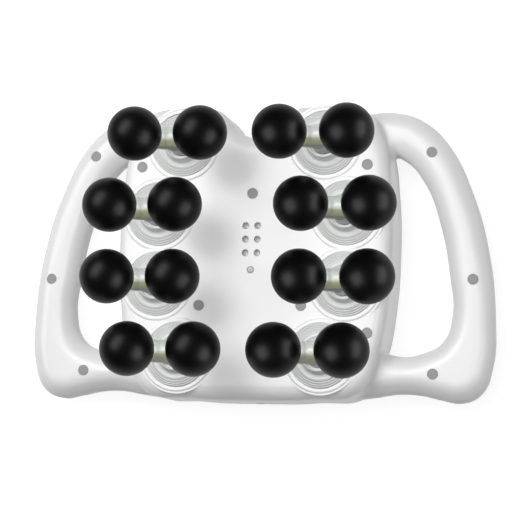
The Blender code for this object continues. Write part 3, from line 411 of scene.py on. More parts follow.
def soften(points, radius, closed=False, steps=4):
    """Round the corners of a profile with short curves."""
    count = len(points)
    knots = [Vector(point) for point in points]
    result = []
    for index, knot in enumerate(knots):
        if not closed and index in (0, count - 1):
            result.append(tuple(knot))
            continue
        before = knots[index - 1] - knot
        after = knots[(index + 1) % count] - knot
        reach = min(radius, before.length * 0.45, after.length * 0.45)
        if reach < TINY:
            result.append(tuple(knot))
            continue
        start = knot + before.normalized() * reach
        stop = knot + after.normalized() * reach
        for step in range(steps + 1):
            t = step / steps
            result.append(tuple(start * (1 - t) ** 2 + knot * 2 * t * (1 - t) + stop * t ** 2))
    return result


def rod(name, radius, bottom, top, steps=48):
    """A round bar or cutter about Z."""
    return turned(name, [(0.0, top), (radius, top), (radius, bottom), (0.0, bottom)], steps)


def reskin(obj, voxel):
    """Join an object's overlapping forms in one skin."""
    remesh = obj.modifiers.new("skin", "REMESH")
    remesh.mode = "VOXEL"
    remesh.voxel_size = voxel


def surface(mesh):
    """A search tree of a mesh's faces."""
    shape = bmesh.new()
    shape.from_mesh(mesh)
    tree = BVHTree.FromBMesh(shape)
    shape.free()
    return tree


def along(start, stop):
    """The matrix that lays a mesh turned about Z from the point start towards the point stop."""
    axis = Vector(stop) - Vector(start)
    return Matrix.Translation(start) @ axis.to_track_quat("Z", "Y").to_matrix().to_4x4()


def curve_mesh(curve, name):
    """A curve's mesh, welded and with its faces pointing outwards."""
    obj = link(name, curve)
    mesh = evaluated(obj)
    bpy.data.objects.remove(obj)
    shape = bmesh.new()
    shape.from_mesh(mesh)
    bmesh.ops.remove_doubles(shape, verts=shape.verts, dist=WELD)
    bmesh.ops.recalc_face_normals(shape, faces=shape.faces)
    return mesh_from(shape, name)


def outline_curve(name, loops, steps):
    """A filled flat curve of closed loops, smooth ones where there are steps between their points."""
    curve = bpy.data.curves.new(name, "CURVE")
    curve.dimensions = "2D"
    curve.fill_mode = "BOTH"
    for points in loops:
        spline = curve.splines.new("BEZIER" if steps > 1 else "POLY")
        knots = spline.bezier_points if steps > 1 else spline.points
        knots.add(len(points) - 1)
        for knot, (x, y) in zip(knots, points):
            knot.co = (x, y, 0.0) if steps > 1 else (x, y, 0.0, 1.0)
            if steps > 1:
                knot.handle_left_type = "AUTO"
                knot.handle_right_type = "AUTO"
        spline.resolution_u = steps
        spline.use_cyclic_u = True
    return curve


def slab(name, loops, edge, depth, centre_z, inset=0.0, edge_steps=6):
    """A slab with rounded edges; an inset makes the hollow that leaves a wall."""
    least_flat = edge * 0.12
    flat = max(depth / 2 - edge, least_flat)
    curve = outline_curve(name, loops, 10)
    curve.offset = -edge
    curve.bevel_depth = edge - inset
    curve.bevel_resolution = edge_steps
    curve.extrude = flat
    mesh = curve_mesh(curve, name)
    drawn = flat + edge - inset
    mesh.transform(Matrix.Scale((depth / 2 - inset) / drawn, 4, Vector((0, 0, 1))))
    mesh.transform(Matrix.Translation((0, 0, centre_z)))
    return mesh


def plate(name, loop, bottom, top, edge=0.0):
    """A flat outline from one height to another, its edges eased where an edge is given."""
    curve = outline_curve(name, [loop], 1)
    curve.offset = -edge
    curve.bevel_depth = edge
    curve.bevel_resolution = 2
    curve.extrude = (top - bottom) / 2 - edge
    mesh = curve_mesh(curve, name)
    mesh.transform(Matrix.Translation((0, 0, (top + bottom) / 2)))
    return mesh


def tube(name, path, radii):
    """A round bar along a path in one plane, with flat ends and its own radius at each point."""
    curve = bpy.data.curves.new(name, "CURVE")
    curve.dimensions = "3D"
    curve.bevel_depth = 1.0
    curve.bevel_resolution = 8
    curve.use_fill_caps = True
    spline = curve.splines.new("POLY")
    spline.points.add(len(path) - 1)
    for knot, place, radius in zip(spline.points, path, radii):
        knot.co = (*place, 1.0)
        knot.radius = radius
    return curve_mesh(curve, name)


def rounded_box(width, height, corner, x=0.0, y=0.0):
    """The outline of a rectangle with round corners."""
    steps = 6
    points = []
    for sx, sy, start in ((1, 1, 0.0), (-1, 1, 90.0), (-1, -1, 180.0), (1, -1, 270.0)):
        for step in range(steps + 1):
            angle = math.radians(start + 90.0 * step / steps)
            points.append((x + sx * (width / 2 - corner) + corner * math.cos(angle),
                           y + sy * (height / 2 - corner) + corner * math.sin(angle)))
    return points


def mirrored(shares, half_width, half_height):
    """A closed outline from its right half, which starts and ends on the centre line."""
    right = [(x * half_width, y * half_height) for x, y in shares]
    left = [(-x, y) for x, y in reversed(right[1:-1])]
    return right + left


def smooth_shading(mesh, angle=SHARP_ANGLE):
    mesh.shade_smooth()
    mesh.set_sharp_from_angle(angle=angle)


def dress(obj, body, finish, slot, *nodes):
    """Give a piece its finish, smooth shading and body, and hide the solids that it stands for; the slot is
    not used.
    """
    obj.data.materials.clear()
    obj.data.materials.append(finish)
    smooth_shading(obj.data)
    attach(obj, body)
    if nodes:
        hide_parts(*nodes)
    return obj


def middle(node):
    """The centre of a node's box, and its lowest and highest corners."""
    low, high = (Vector(corner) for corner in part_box(node))
    return (low + high) / 2, low, high


def head_place(head):
    """A head's place in the plan, at the height of the rear face."""
    centre, _, _ = middle(f"piston_boot_{head}")
    return Vector((centre.x, centre.y, 0.0))


class Finish:
    """A node material of one Principled shader with grain, mottle and bump."""

    def __init__(self, name, colour, roughness, metallic=0.0):
        self.material = bpy.data.materials.new(name)
        self.material.use_nodes = True
        self.tree = self.material.node_tree
        self.shader = self.tree.nodes["Principled BSDF"]
        self.colour = colour
        self.set("Base Color", (*colour, 1.0))
        self.set("Roughness", roughness)
        self.set("Metallic", metallic)
        coordinates = self.tree.nodes.new("ShaderNodeTexCoord")
        self.place = coordinates.outputs["Object"]

    def set(self, socket, value):
        self.shader.inputs[socket].default_value = value
        return self

    def node(self, kind, **values):
        made = self.tree.nodes.new(kind)
        for key, value in values.items():
            setattr(made, key, value)
        return made

    def link(self, output, target):
        self.tree.links.new(output, target)

    def noise(self, size, detail=3.0):
        """Noise whose features are about this size in metres."""
        texture = self.node("ShaderNodeTexNoise")
        texture.inputs["Scale"].default_value = 1.0 / size
        texture.inputs["Detail"].default_value = detail
        self.link(self.place, texture.inputs["Vector"])
        return texture.outputs["Fac"]

    def wave(self, size):
        """Bands across X, this far apart in metres."""
        texture = self.node("ShaderNodeTexWave")
        texture.inputs["Scale"].default_value = math.tau / (20.0 * size)
        self.link(self.place, texture.inputs["Vector"])
        return texture.outputs["Fac"]

    def mix(self, first, second, factor):
        """A colour between two, each of them a colour or an output."""
        mix = self.node("ShaderNodeMix", data_type="RGBA")
        for socket, value in (("A", first), ("B", second)):
            if isinstance(value, bpy.types.NodeSocket):
                self.link(value, mix.inputs[socket])
            else:
                mix.inputs[socket].default_value = (*value, 1.0)
        self.link(factor, mix.inputs["Factor"])
        return mix.outputs["Result"]

    def spread(self, value, start, stop, low=0.0, high=1.0, ease="LINEAR"):
        """An output's span from start to stop, laid over the span from low to high."""
        span = self.node("ShaderNodeMapRange", interpolation_type=ease)
        for socket, limit in (("From Min", start), ("From Max", stop), ("To Min", low), ("To Max", high)):
            span.inputs[socket].default_value = limit
        self.link(value, span.inputs["Value"])
        return span.outputs["Result"]

    def combine(self, operation, first, second):
        """Two outputs, or an output and a number, in one math node."""
        node = self.node("ShaderNodeMath", operation=operation)
        self.link(first, node.inputs[0])
        if isinstance(second, bpy.types.NodeSocket):
            self.link(second, node.inputs[1])
        else:
            node.inputs[1].default_value = second
        return node.outputs["Value"]

    def mottle(self, size, dark):
        """Vary the colour towards a darker share of itself."""
        shade = [part * dark for part in self.colour]
        self.link(self.mix(self.colour, shade, self.noise(size)), self.shader.inputs["Base Color"])
        return self

    def gloss(self, size, low, high):
        """Vary the roughness between two values."""
        self.link(self.spread(self.noise(size), 0.0, 1.0, low, high), self.shader.inputs["Roughness"])
        return self

    def grain(self, size, depth):
        """Fine bump from noise."""
        return self.bump(self.noise(size, 4.0), depth)

    def bump(self, height, depth):
        bump = self.node("ShaderNodeBump")
        bump.inputs["Strength"].default_value = 1.0
        bump.inputs["Distance"].default_value = depth
        self.link(height, bump.inputs["Height"])
        self.link(bump.outputs["Normal"], self.shader.inputs["Normal"])
        return self


def satin_white(case):
    finish = Finish("satin_white", case.white, 0.36)
    finish.mottle(45.0 * MM, 0.97).gloss(8.0 * MM, 0.32, 0.42).grain(0.45 * MM, 0.012 * MM)
    finish.set("Coat Weight", 0.3).set("Coat Roughness", 0.25)
    return finish.material


def clear_moulding(heads):
    """Clear plastic with painted shade: the bar's lower side is darkened to olive along the arm, and the
    shaft under the bar is darker still. The pale upper tint has a random cloud.
    """
    finish = Finish("clear_moulding", heads.clear_upper, 0.3)
    position = finish.node("ShaderNodeSeparateXYZ")
    finish.link(finish.place, position.inputs["Vector"])
    across = position.outputs["Y"]
    # Painted shade: darker below this blend across the arm's Y, and darker still on the shaft under the bar
    seam = finish.spread(across, -4.0 * MM, 0.5 * MM, ease="SMOOTHSTEP")
    foot = finish.spread(across, -8.4 * MM, -6.6 * MM, ease="SMOOTHSTEP")
    low = finish.mix(heads.shaft_painted_shade, heads.lower_painted_shade, foot)
    smoky = [part * 0.82 for part in heads.clear_upper]
    cloud = finish.mix(heads.clear_upper, smoky, finish.noise(6.0 * MM))
    finish.link(finish.mix(low, cloud, seam), finish.shader.inputs["Base Color"])
    finish.grain(2.5 * MM, 0.02 * MM)
    finish.set("IOR", 1.49).set("Coat Weight", 0.3).set("Coat Roughness", 0.12)
    return finish.material


def build_shell(case):
    """The outside of the case in one skin: the handles' slab, the body's slab and the bosses' flares."""
    half_width, half_height = FULL_WIDTH / 2, FULL_HEIGHT / 2
    outer = mirrored(HANDLE_OUTLINE_SHARES, half_width, half_height)
    hole = [(x * half_width, y * half_height) for x, y in FINGER_HOLE_SHARES]
    other_hole = [(-x, y) for x, y in reversed(hole)]
    handles = slab("handles", [outer, hole, other_hole], case.grip_edge, case.handle_depth, PARTING_Z)
    body_loop = mirrored(BODY_OUTLINE_SHARES, case.body_width / 2, half_height)
    body = slab("body", [body_loop], case.body_edge, FACE_Z, FACE_Z / 2)
    top, foot = FACE_Z - 0.02 * MM, FACE_Z - case.boss_drop
    flare = [
        (0.0, top), (BOSS_RADIUS + 0.6 * MM, top),
        (BOSS_RADIUS + case.boss_flare * 0.45, FACE_Z - case.boss_drop * 0.4),
        (BOSS_RADIUS + case.boss_flare, foot), (0.0, foot - 12.0 * MM),
    ]
    cone = turned("flare", soften(flare, 3.0 * MM), 64)
    flares = [placed(cone, *head_place(head)) for head in HEADS]
    shell = link("shell", merged("shell", [handles, body] + flares))
    reskin(shell, case.voxel)
    apply_all(shell)
    crown(shell, [outer, hole, other_hole], body, case)
    fillet(shell, [handles, body], case)
    fit(shell.data)
    return shell


def crown(shell, loops, body, case):
    """Round the handles' faces, which a slab leaves flat, and leave the body alone."""
    edge = curve_mesh(outline_curve("edge", loops, steps=40), "edge").vertices
    tree = KDTree(len(edge))
    for index, vertex in enumerate(edge):
        tree.insert(vertex.co, index)
    tree.balance()
    skin = surface(body)
    for vertex in shell.data.vertices:
        gap = skin.find_nearest(vertex.co)[3]
        depth = tree.find((vertex.co.x, vertex.co.y, 0.0))[2]
        thinner = case.crown * (1.0 - min(depth / case.crown_reach, 1.0)) ** 2
        thinner *= min(gap / (2.0 * case.crease_reach), 1.0)
        vertex.co.z = PARTING_Z + (vertex.co.z - PARTING_Z) * (1.0 - thinner)


def fit(mesh):
    """Trim the skin's width and height to those of the front housing's solid."""
    _, low, high = middle("front_housing")
    for axis in (0, 1):
        values = [vertex.co[axis] for vertex in mesh.vertices]
        stretch = (high[axis] - low[axis]) / (max(values) - min(values))
        direction = Vector((0, 0, 0))
        direction[axis] = 1.0
        mesh.transform(Matrix.Scale(stretch, 4, direction))
        shift = low[axis] - min(vertex.co[axis] for vertex in mesh.vertices)
        mesh.transform(Matrix.Translation(direction * shift))


def fillet(shell, forms, case):
    """Smooth the skin where the surfaces of the two forms meet."""
    trees = [surface(form) for form in forms]
    crease = shell.vertex_groups.new(name="crease")
    everywhere = shell.vertex_groups.new(name="everywhere")
    for vertex in shell.data.vertices:
        gap = max(tree.find_nearest(vertex.co)[3] for tree in trees)
        if gap < case.crease_reach:
            weight = min(1.0, FILLET_GAIN * (1.0 - gap / case.crease_reach))
            crease.add([vertex.index], weight, "REPLACE")
        everywhere.add([vertex.index], 1.0, "REPLACE")
    for group, passes in ((crease, case.crease_passes), (everywhere, SKIN_PASSES)):
        smooth = shell.modifiers.new("fillet", "SMOOTH")
        smooth.factor = 0.5
        smooth.iterations = passes
        smooth.vertex_group = group.name
    apply_all(shell)
    shell.vertex_groups.clear()


def in_pairs(shares, width):
    """Places on both sides of the centre line, from their shares of the half width and the half height."""
    return [(sign * x * width / 2, y * FULL_HEIGHT / 2) for x, y in shares for sign in (-1, 1)]


def body_screws(case):
    return [(0.0, TOP_SCREW_Y)] + in_pairs(BODY_SCREW_SHARES, case.body_width)


def screw_spots(case):
    """Where the screws stand: in the body, then in the handles."""
    return body_screws(case) + in_pairs(HANDLE_SCREW_SHARES, FULL_WIDTH)


def on_face(x, y):
    """The point and the direction of the front housing's surface over a place."""
    shell = bpy.data.objects["case_front"]
    hit, point, normal, _ = shell.ray_cast(Vector((x, y, 0.1)), Vector((0, 0, -1)))
    if not hit:
        raise RuntimeError(f"no front face at {x:.3f}, {y:.3f}")
    return point, normal


class MASSAGER_OT_case(bpy.types.Operator):
    """Mould the two shells of the case, with their bosses, vents and openings"""

    bl_idname = "massager.case"
    bl_label = "Case"

    def execute(self, context):
        case = context.scene.massager_case
        shell = build_shell(case)
        white = satin_white(case)
        body_loop = mirrored(BODY_OUTLINE_SHARES, case.body_width / 2, FULL_HEIGHT / 2)
        hollow = slab("hollow", [body_loop], case.body_edge, FACE_Z, FACE_Z / 2, case.wall, edge_steps=3)
        front = link("case_front", shell.data.copy())
        rear = link("case_rear", shell.data.copy())
        bpy.data.objects.remove(shell)
        span = FULL_WIDTH
        seam = 0.15 * MM
        carve(front, box("below", (-span, -span, -span), (span, span, PARTING_Z + seam)))
        carve(rear, box("above", (-span, -span, PARTING_Z - seam), (span, span, span)))
        self.front(front, hollow, case)
        self.rear(rear, hollow, case)
        dress(front, "case", white, "satin_white", "front_housing")
        dress(rear, "case", white, "satin_white", "rear_housing")
        return {"FINISHED"}

    def front(self, obj, hollow, case):
        places = [head_place(head) for head in HEADS]
        foot, skirt = FACE_Z - 1.5 * MM, BOSS_RADIUS + 3.2 * MM
        rim = [
            (RING_SEAT, foot), (RING_SEAT, BOSS_TOP_Z), (BOSS_RADIUS + 0.5 * MM, BOSS_TOP_Z),
            (BOSS_RADIUS + 1.7 * MM, FACE_Z - 0.1 * MM), (skirt, FACE_Z - 0.1 * MM), (skirt, foot),
        ]
        ring = turned("rim", soften(rim, 0.35 * MM, closed=True), 96, closed=True)
        carve(obj, repeated("rims", ring, places), "UNION")
        carve(obj, hollow)
        self.posts(obj, case, FRAME_TOP_Z, FACE_Z - case.wall / 2)
        cuts = (("seats", RING_SEAT, FACE_Z), ("bores", BORE_RADIUS, FACE_Z - CUT_THROUGH))
        for name, radius, bottom in cuts:
            carve(obj, repeated(name, rod(name, radius, bottom, FACE_Z + CUT_CLEAR, 96), places))
        carve(obj, repeated("vents", self.vent(case.vent_radius), vent_spots(case)))
        lens = rod("lens_hole", LENS_HOLE, FACE_Z - CUT_THROUGH, FACE_Z + CUT_PAST)
        carve(obj, placed(lens, 0.0, LENS_Y))

    def posts(self, obj, case, bottom, top):
        """Stand a post at each of the body's screws."""
        carve(obj, repeated("posts", rod("post", POST_RADIUS, bottom, top, 24), body_screws(case)), "UNION")

    def vent(self, radius):
        """A cutter for a countersunk vent."""
        top = FACE_Z + CUT_PAST
        lip = radius + 0.35 * MM
        profile = [
            (0.0, top), (lip, top), (lip, FACE_Z), (radius, FACE_Z - 0.5 * MM),
            (radius, FACE_Z - CUT_THROUGH), (0.0, FACE_Z - CUT_THROUGH),
        ]
        return turned("vent", profile, 32)

    def rear(self, obj, hollow, case):
        rear = bpy.context.scene.massager_rear
        carve(obj, hollow)
        self.posts(obj, case, case.wall / 2, FRAME_Z - 0.3 * MM)
        play = 0.6 * MM
        inside = case.wall + CUT_PAST
        loop = rounded_box(PANEL[0] + play, PANEL[1] + play, rear.panel_corner, 0.0, PANEL_Y)
        carve(obj, plate("opening", loop, -CUT_CLEAR, inside))
        slots = []
        for index in range(SLOT_COUNT):
            y = SLOT_Y + index * SLOT_PITCH
            loop = rounded_box(SLOT_LENGTH, rear.slot_width, rear.slot_width / 2 - TINY, 0.0, y)
            slots.append(plate("slot", loop, -CUT_CLEAR, inside))
        carve(obj, merged("slots", slots))
        hole = rod("socket_hole", SOCKET_HOLE, -6.0 * MM, CUT_PAST)
        hole.transform(along(*SOCKET_AXIS))
        carve(obj, hole)


def vent_spots(case):
    return [
        (sign * case.vent_spacing / 2, case.vent_top - row * case.vent_pitch)
        for row in range(3) for sign in (-1, 1)
    ]


class MASSAGER_OT_plugs(bpy.types.Operator):
    """Press a grey plug over each screw"""

    bl_idname = "massager.plugs"
    bl_label = "Screw Plugs"

    def execute(self, context):
        case = context.scene.massager_case
        front = bpy.data.objects["case_front"]
        finish = Finish("plug_grey", case.grey, 0.55)
        finish.mottle(2.0 * MM, 0.9).grain(0.4 * MM, 0.02 * MM)
        radius = case.plug_radius
        spots = [on_face(x, y) for x, y in screw_spots(case)]
        well = rod("well", radius + WELL_GAP, -PLUG_DEPTH, 3.0 * MM, 40)
        wells = []
        for point, normal in spots:
            wells.append(moved(well, along(point, point + normal)))
        carve(front, merged("wells", wells))
        smooth_shading(front.data)
        foot = -PLUG_DEPTH + 0.02 * MM
        profile = [(0.0, 0.0), (radius * 0.8, 0.0), (radius, -0.12 * MM), (radius, foot), (0.0, foot)]
        cap = turned("plug", soften(profile, 0.3 * MM), 40)
        for index, (point, normal) in enumerate(spots):
            sunk = point - normal * case.plug_dip
            plug = link(f"screw_plug_{index + 1:02d}", moved(cap, along(sunk, sunk + normal)))
            dress(plug, "case", finish.material, "button_grey")
        return {"FINISHED"}


class MASSAGER_OT_vents(bpy.types.Operator):
    """Fit the screen behind the vents, a pale bead in each vent as a painted glint, and the indicator lens"""

    bl_idname = "massager.vents"
    bl_label = "Vents and Lens"

    def execute(self, context):
        case = context.scene.massager_case
        width = case.vent_spacing + 10.0 * MM
        height = 2 * case.vent_pitch + 10.0 * MM
        y = case.vent_top - case.vent_pitch
        roof = FACE_Z - case.wall - 0.05 * MM
        loop = rounded_box(width, height, 2.0 * MM, 0.0, y)
        screen = link("vent_screen", plate("vent_screen", loop, roof - 0.6 * MM, roof))
        finish = Finish("vent_mesh", (0.42, 0.42, 0.42), 0.45)
        finish.mottle(0.8 * MM, 0.6).grain(0.5 * MM, 0.1 * MM)
        dress(screen, "case", finish.material, "button_grey")
        # Painted glints: a pale bead sits off-centre towards the lower right of each vent, in place of the
        # highlight on the hole's lit wall
        profile = [(0.0, 1.1 * MM), (0.7 * MM, 0.8 * MM), (1.2 * MM, 0.0), (0.0, 0.0)]
        bead = turned("bead", soften(profile, 0.5 * MM), 24)
        shift = 0.75 * MM
        spots = [(x + shift, y - shift) for x, y in vent_spots(case)]
        glint_paint = Finish("vent_nub", (0.75, 0.75, 0.75), 0.3)
        glint_paint.grain(0.5 * MM, 0.01 * MM)
        glints = link("vent_nubs", repeated("vent_nubs", bead, spots, roof))
        dress(glints, "case", glint_paint.material, "pale_lens")
        _, low, high = middle("indicator_lens")
        tip, seat, back = high.z, high.z - 3.3 * MM, high.z - 5.1 * MM
        profile = [
            (0.0, tip), (LENS_RADIUS * 0.75, tip - 0.1 * MM), (LENS_RADIUS, tip - 0.5 * MM),
            (LENS_RADIUS, seat), (LENS_FLANGE, seat), (LENS_FLANGE, back), (LENS_RADIUS, back),
            (LENS_RADIUS, low.z), (0.0, low.z),
        ]
        lens = link("indicator", placed(turned("indicator", soften(profile, 0.4 * MM), 48), 0.0, LENS_Y))
        glow = Finish("frosted_lens", (0.58, 0.58, 0.58), 0.25)
        glow.mottle(1.5 * MM, 0.8).grain(0.6 * MM, 0.02 * MM)
        glow.set("Transmission Weight", 0.2).set("Coat Weight", 0.5)
        dress(lens, "case", glow.material, "pale_lens", "indicator_lens")
        return {"FINISHED"}


class MASSAGER_OT_boots(bpy.types.Operator):
    """Turn the corrugated boots; on the real massager they stretch with the strokes, here they keep their
    shape
    """

    bl_idname = "massager.boots"
    bl_label = "Boots"

    def execute(self, context):
        heads = context.scene.massager_heads
        base = FACE_Z + 0.3 * MM
        outer = RING_SEAT - 0.6 * MM
        lip = FACE_Z + BOOT_RISE
        inner = heads.shaft + 0.3 * MM
        collar = heads.collar
        outside = [
            (inner, base + 6.2 * MM), (collar - 2.6 * MM, base + 6.4 * MM), (collar - 2.4 * MM, lip),
            (collar - 1.4 * MM, lip), (collar - 0.2 * MM, base + 5.2 * MM),
        ]
        outside += [(radius, base + height) for radius, height in BOOT_TROUGH]
        for radius, height in BOOT_RIDGES:
            outside += [(radius - 0.5 * MM, base + height), (radius, base + height - 0.6 * MM),
                        (radius + 0.5 * MM, base + height - 0.3 * MM)]
        outside += [(outer, base + 0.7 * MM), (outer, base)]
        inside = [(BORE_RADIUS + 0.3 * MM, base), (17.0 * MM, base + 0.9 * MM), (inner, base + 3.5 * MM)]
        mesh = turned("boot", soften(outside + inside, 0.2 * MM, closed=True, steps=3), 96, closed=True)
        finish = Finish("boot_rubber", heads.boot, 0.34)
        finish.mottle(9.0 * MM, 0.93).grain(1.2 * MM, 0.02 * MM)
        finish.set("Subsurface Weight", 0.2).set("Subsurface Radius", (0.002, 0.002, 0.002))
        finish.set("Coat Weight", 0.25)
        for head in HEADS:
            place = head_place(head)
            boot = link(f"boot_{head}", placed(mesh, *place))
            boot.data.materials.append(finish.material)
            smooth_shading(boot.data, BOOT_SHARP_ANGLE)
            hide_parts(f"piston_boot_{head}")
            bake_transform(boot)
        return {"FINISHED"}


def arm_path(heads):
    """The arm's axis from the middle of its bar into the right-hand ball, with its radius at each point."""
    lean = heads.stem_tilt
    mouth = math.sqrt(heads.ball ** 2 - (heads.shoulder + MOUTH_PLAY) ** 2)
    shoulder = mouth + STEM_PLAY

    def on_stem(distance):
        across, down = distance * math.sin(lean), distance * math.cos(lean)
        return Vector((BALL_SPACING / 2 - across, heads.ball_rise - down))

    bend = on_stem(shoulder + heads.shoulder)
    elbow = Vector((bend.x, (bend.y + heads.bar_rise) / 2 + 0.3 * MM))
    knots = [
        (Vector((0.0, heads.bar_rise)), heads.bar), (Vector((elbow.x * 0.5, heads.bar_rise)), heads.bar),
        (elbow, heads.bar), (on_stem(shoulder + 3.5 * MM), heads.bar),
        (on_stem(shoulder + 0.2 * MM), heads.shoulder),
    ]
    steps = 6
    smooth = []
    for index in range(len(knots) - 1):
        before, _ = knots[max(index - 1, 0)]
        start, start_radius = knots[index]
        stop, stop_radius = knots[index + 1]
        after, _ = knots[min(index + 2, len(knots) - 1)]
        for step in range(steps):
            t = step / steps
            smooth.append((spline(before, start, stop, after, t), start_radius * (1 - t) + stop_radius * t))
    smooth.append(knots[-1])
    smooth.append((on_stem(shoulder), heads.stem))
    smooth.append((on_stem(mouth - heads.stem_length), heads.stem))
    return smooth


def spline(before, start, stop, after, t):
    """A point between start and stop on a smooth curve through four points."""
    return 0.5 * (2 * start + (stop - before) * t + (2 * before - 5 * start + 4 * stop - after) * t ** 2
                  + (3 * start - before - 3 * stop + after) * t ** 3)


def arm_mesh(heads, heading):
    """The clear arm about its own shaft: bar and shaft in one skin, a forked foot and the wrist pin."""
    right = arm_path(heads)
    path = [((-point.x, 0.0, point.y), radius) for point, radius in reversed(right[1:])]
    path += [((point.x, 0.0, point.y), radius) for point, radius in right]
    places, radii = zip(*path)
    bar = tube("bar", places, radii)
    shaft = rod("shaft", heads.shaft, ARM_FOOT, heads.bar_rise)
    arm = link("arm", merged("arm", [bar, shaft]))
    reskin(arm, ARM_VOXEL)
    smooth = arm.modifiers.new("ease", "SMOOTH")
    smooth.iterations = ARM_PASSES
    apply_all(arm)
    turn = Matrix.Rotation(heading, 4, "Z")
    depth = heads.shaft * 1.2
    slot = box("slot", (-SLOT_HALF, -depth, ARM_FOOT - 1.0 * MM), (SLOT_HALF, depth, FORK_TOP))
    carve(arm, moved(slot, turn))
    reach = SLOT_HALF + 1.0 * MM
    pin = rod("pin", WRIST_PIN, -reach, reach, 24)
    pin.transform(turn @ Matrix.Translation((0.0, 0.0, WRIST_HEIGHT)) @ Matrix.Rotation(math.pi / 2, 4, "Y"))
    carve(arm, pin, "UNION")
    mesh = arm.data
    bpy.data.objects.remove(arm)
    return mesh


class MASSAGER_OT_arms(bpy.types.Operator):
    """Mould the clear T-arms"""

    bl_idname = "massager.arms"
    bl_label = "Arms"

    def execute(self, context):
        heads = context.scene.massager_heads
        finish = clear_moulding(heads)
        for drive in DRIVES:
            side = drive[0]
            rows = (1, 2) if drive.endswith("upper") else (3, 4)
            first, second = (head_place(f"{side}{row}") for row in rows)
            heading = math.atan2(second.y - first.y, second.x - first.x)
            mesh = arm_mesh(heads, heading)
            for row, place in zip(rows, (first, second)):
                arm = link(f"arm_{side}{row}", mesh.copy())
                arm.location = place + Vector((0.0, 0.0, FACE_Z))
                dress(arm, f"head_{side}{row}", finish, "clear_plastic", f"head_arm_{side}{row}")
        return {"FINISHED"}


class MASSAGER_OT_balls(bpy.types.Operator):
    """Turn the rubber balls and press them on the stems"""

    bl_idname = "massager.balls"
    bl_label = "Balls"

    def execute(self, context):
        heads = context.scene.massager_heads
        finish = Finish("ball_rubber", heads.rubber, 0.4)
        finish.gloss(5.0 * MM, 0.37, 0.42).grain(0.6 * MM, 0.01 * MM).mottle(4.0 * MM, 0.8)
        finish.set("IOR", 1.2)
        mouth = heads.shoulder + MOUTH_PLAY
        bore = heads.stem + STEM_PLAY
        last = math.pi - math.asin(mouth / heads.ball)
        arcs = 40
        profile = [(heads.ball * math.sin(last * i / arcs), heads.ball * math.cos(last * i / arcs))
                   for i in range(arcs + 1)]
        profile[0] = (0.0, heads.ball)
        mouth_z = profile[-1][1]
        deep = mouth_z + heads.stem_length + 0.3 * MM
        profile += [(bore + 0.3 * MM, mouth_z), (bore, mouth_z + 0.3 * MM), (bore, deep), (0.0, deep)]
        mesh = turned("ball", profile, 80)
        leaning = {end: moved(mesh, Matrix.Rotation(end * heads.stem_tilt, 4, "Y")) for end in (-1, 1)}
        for head in HEADS:
            place = head_place(head)
            side = -1 if head[0] == "l" else 1
            for end, label in ((side, "outer"), (-side, "inner")):
                node = f"massage_ball_{head}_{label}"
                ball = link(f"ball_{head}_{label}", leaning[end].copy())
                ball.location = place + Vector((end * BALL_SPACING / 2, 0.0, FACE_Z + heads.ball_rise))
                dress(ball, f"head_{head}", finish.material, "black_rubber", node)
        return {"FINISHED"}


def arc(radius, start, stop, steps):
    """Points on an arc, its angles in degrees."""
    angles = [math.radians(start + (stop - start) * step / steps) for step in range(steps + 1)]
    return [(radius * math.cos(angle), radius * math.sin(angle)) for angle in angles]


def stroke(radius, start, stop, width):
    """The outline of an arc-shaped stroke, its angles in degrees."""
    outer, inner = (arc(side, start, stop, 20) for side in (radius + width / 2, radius - width / 2))
    return outer + inner[::-1]


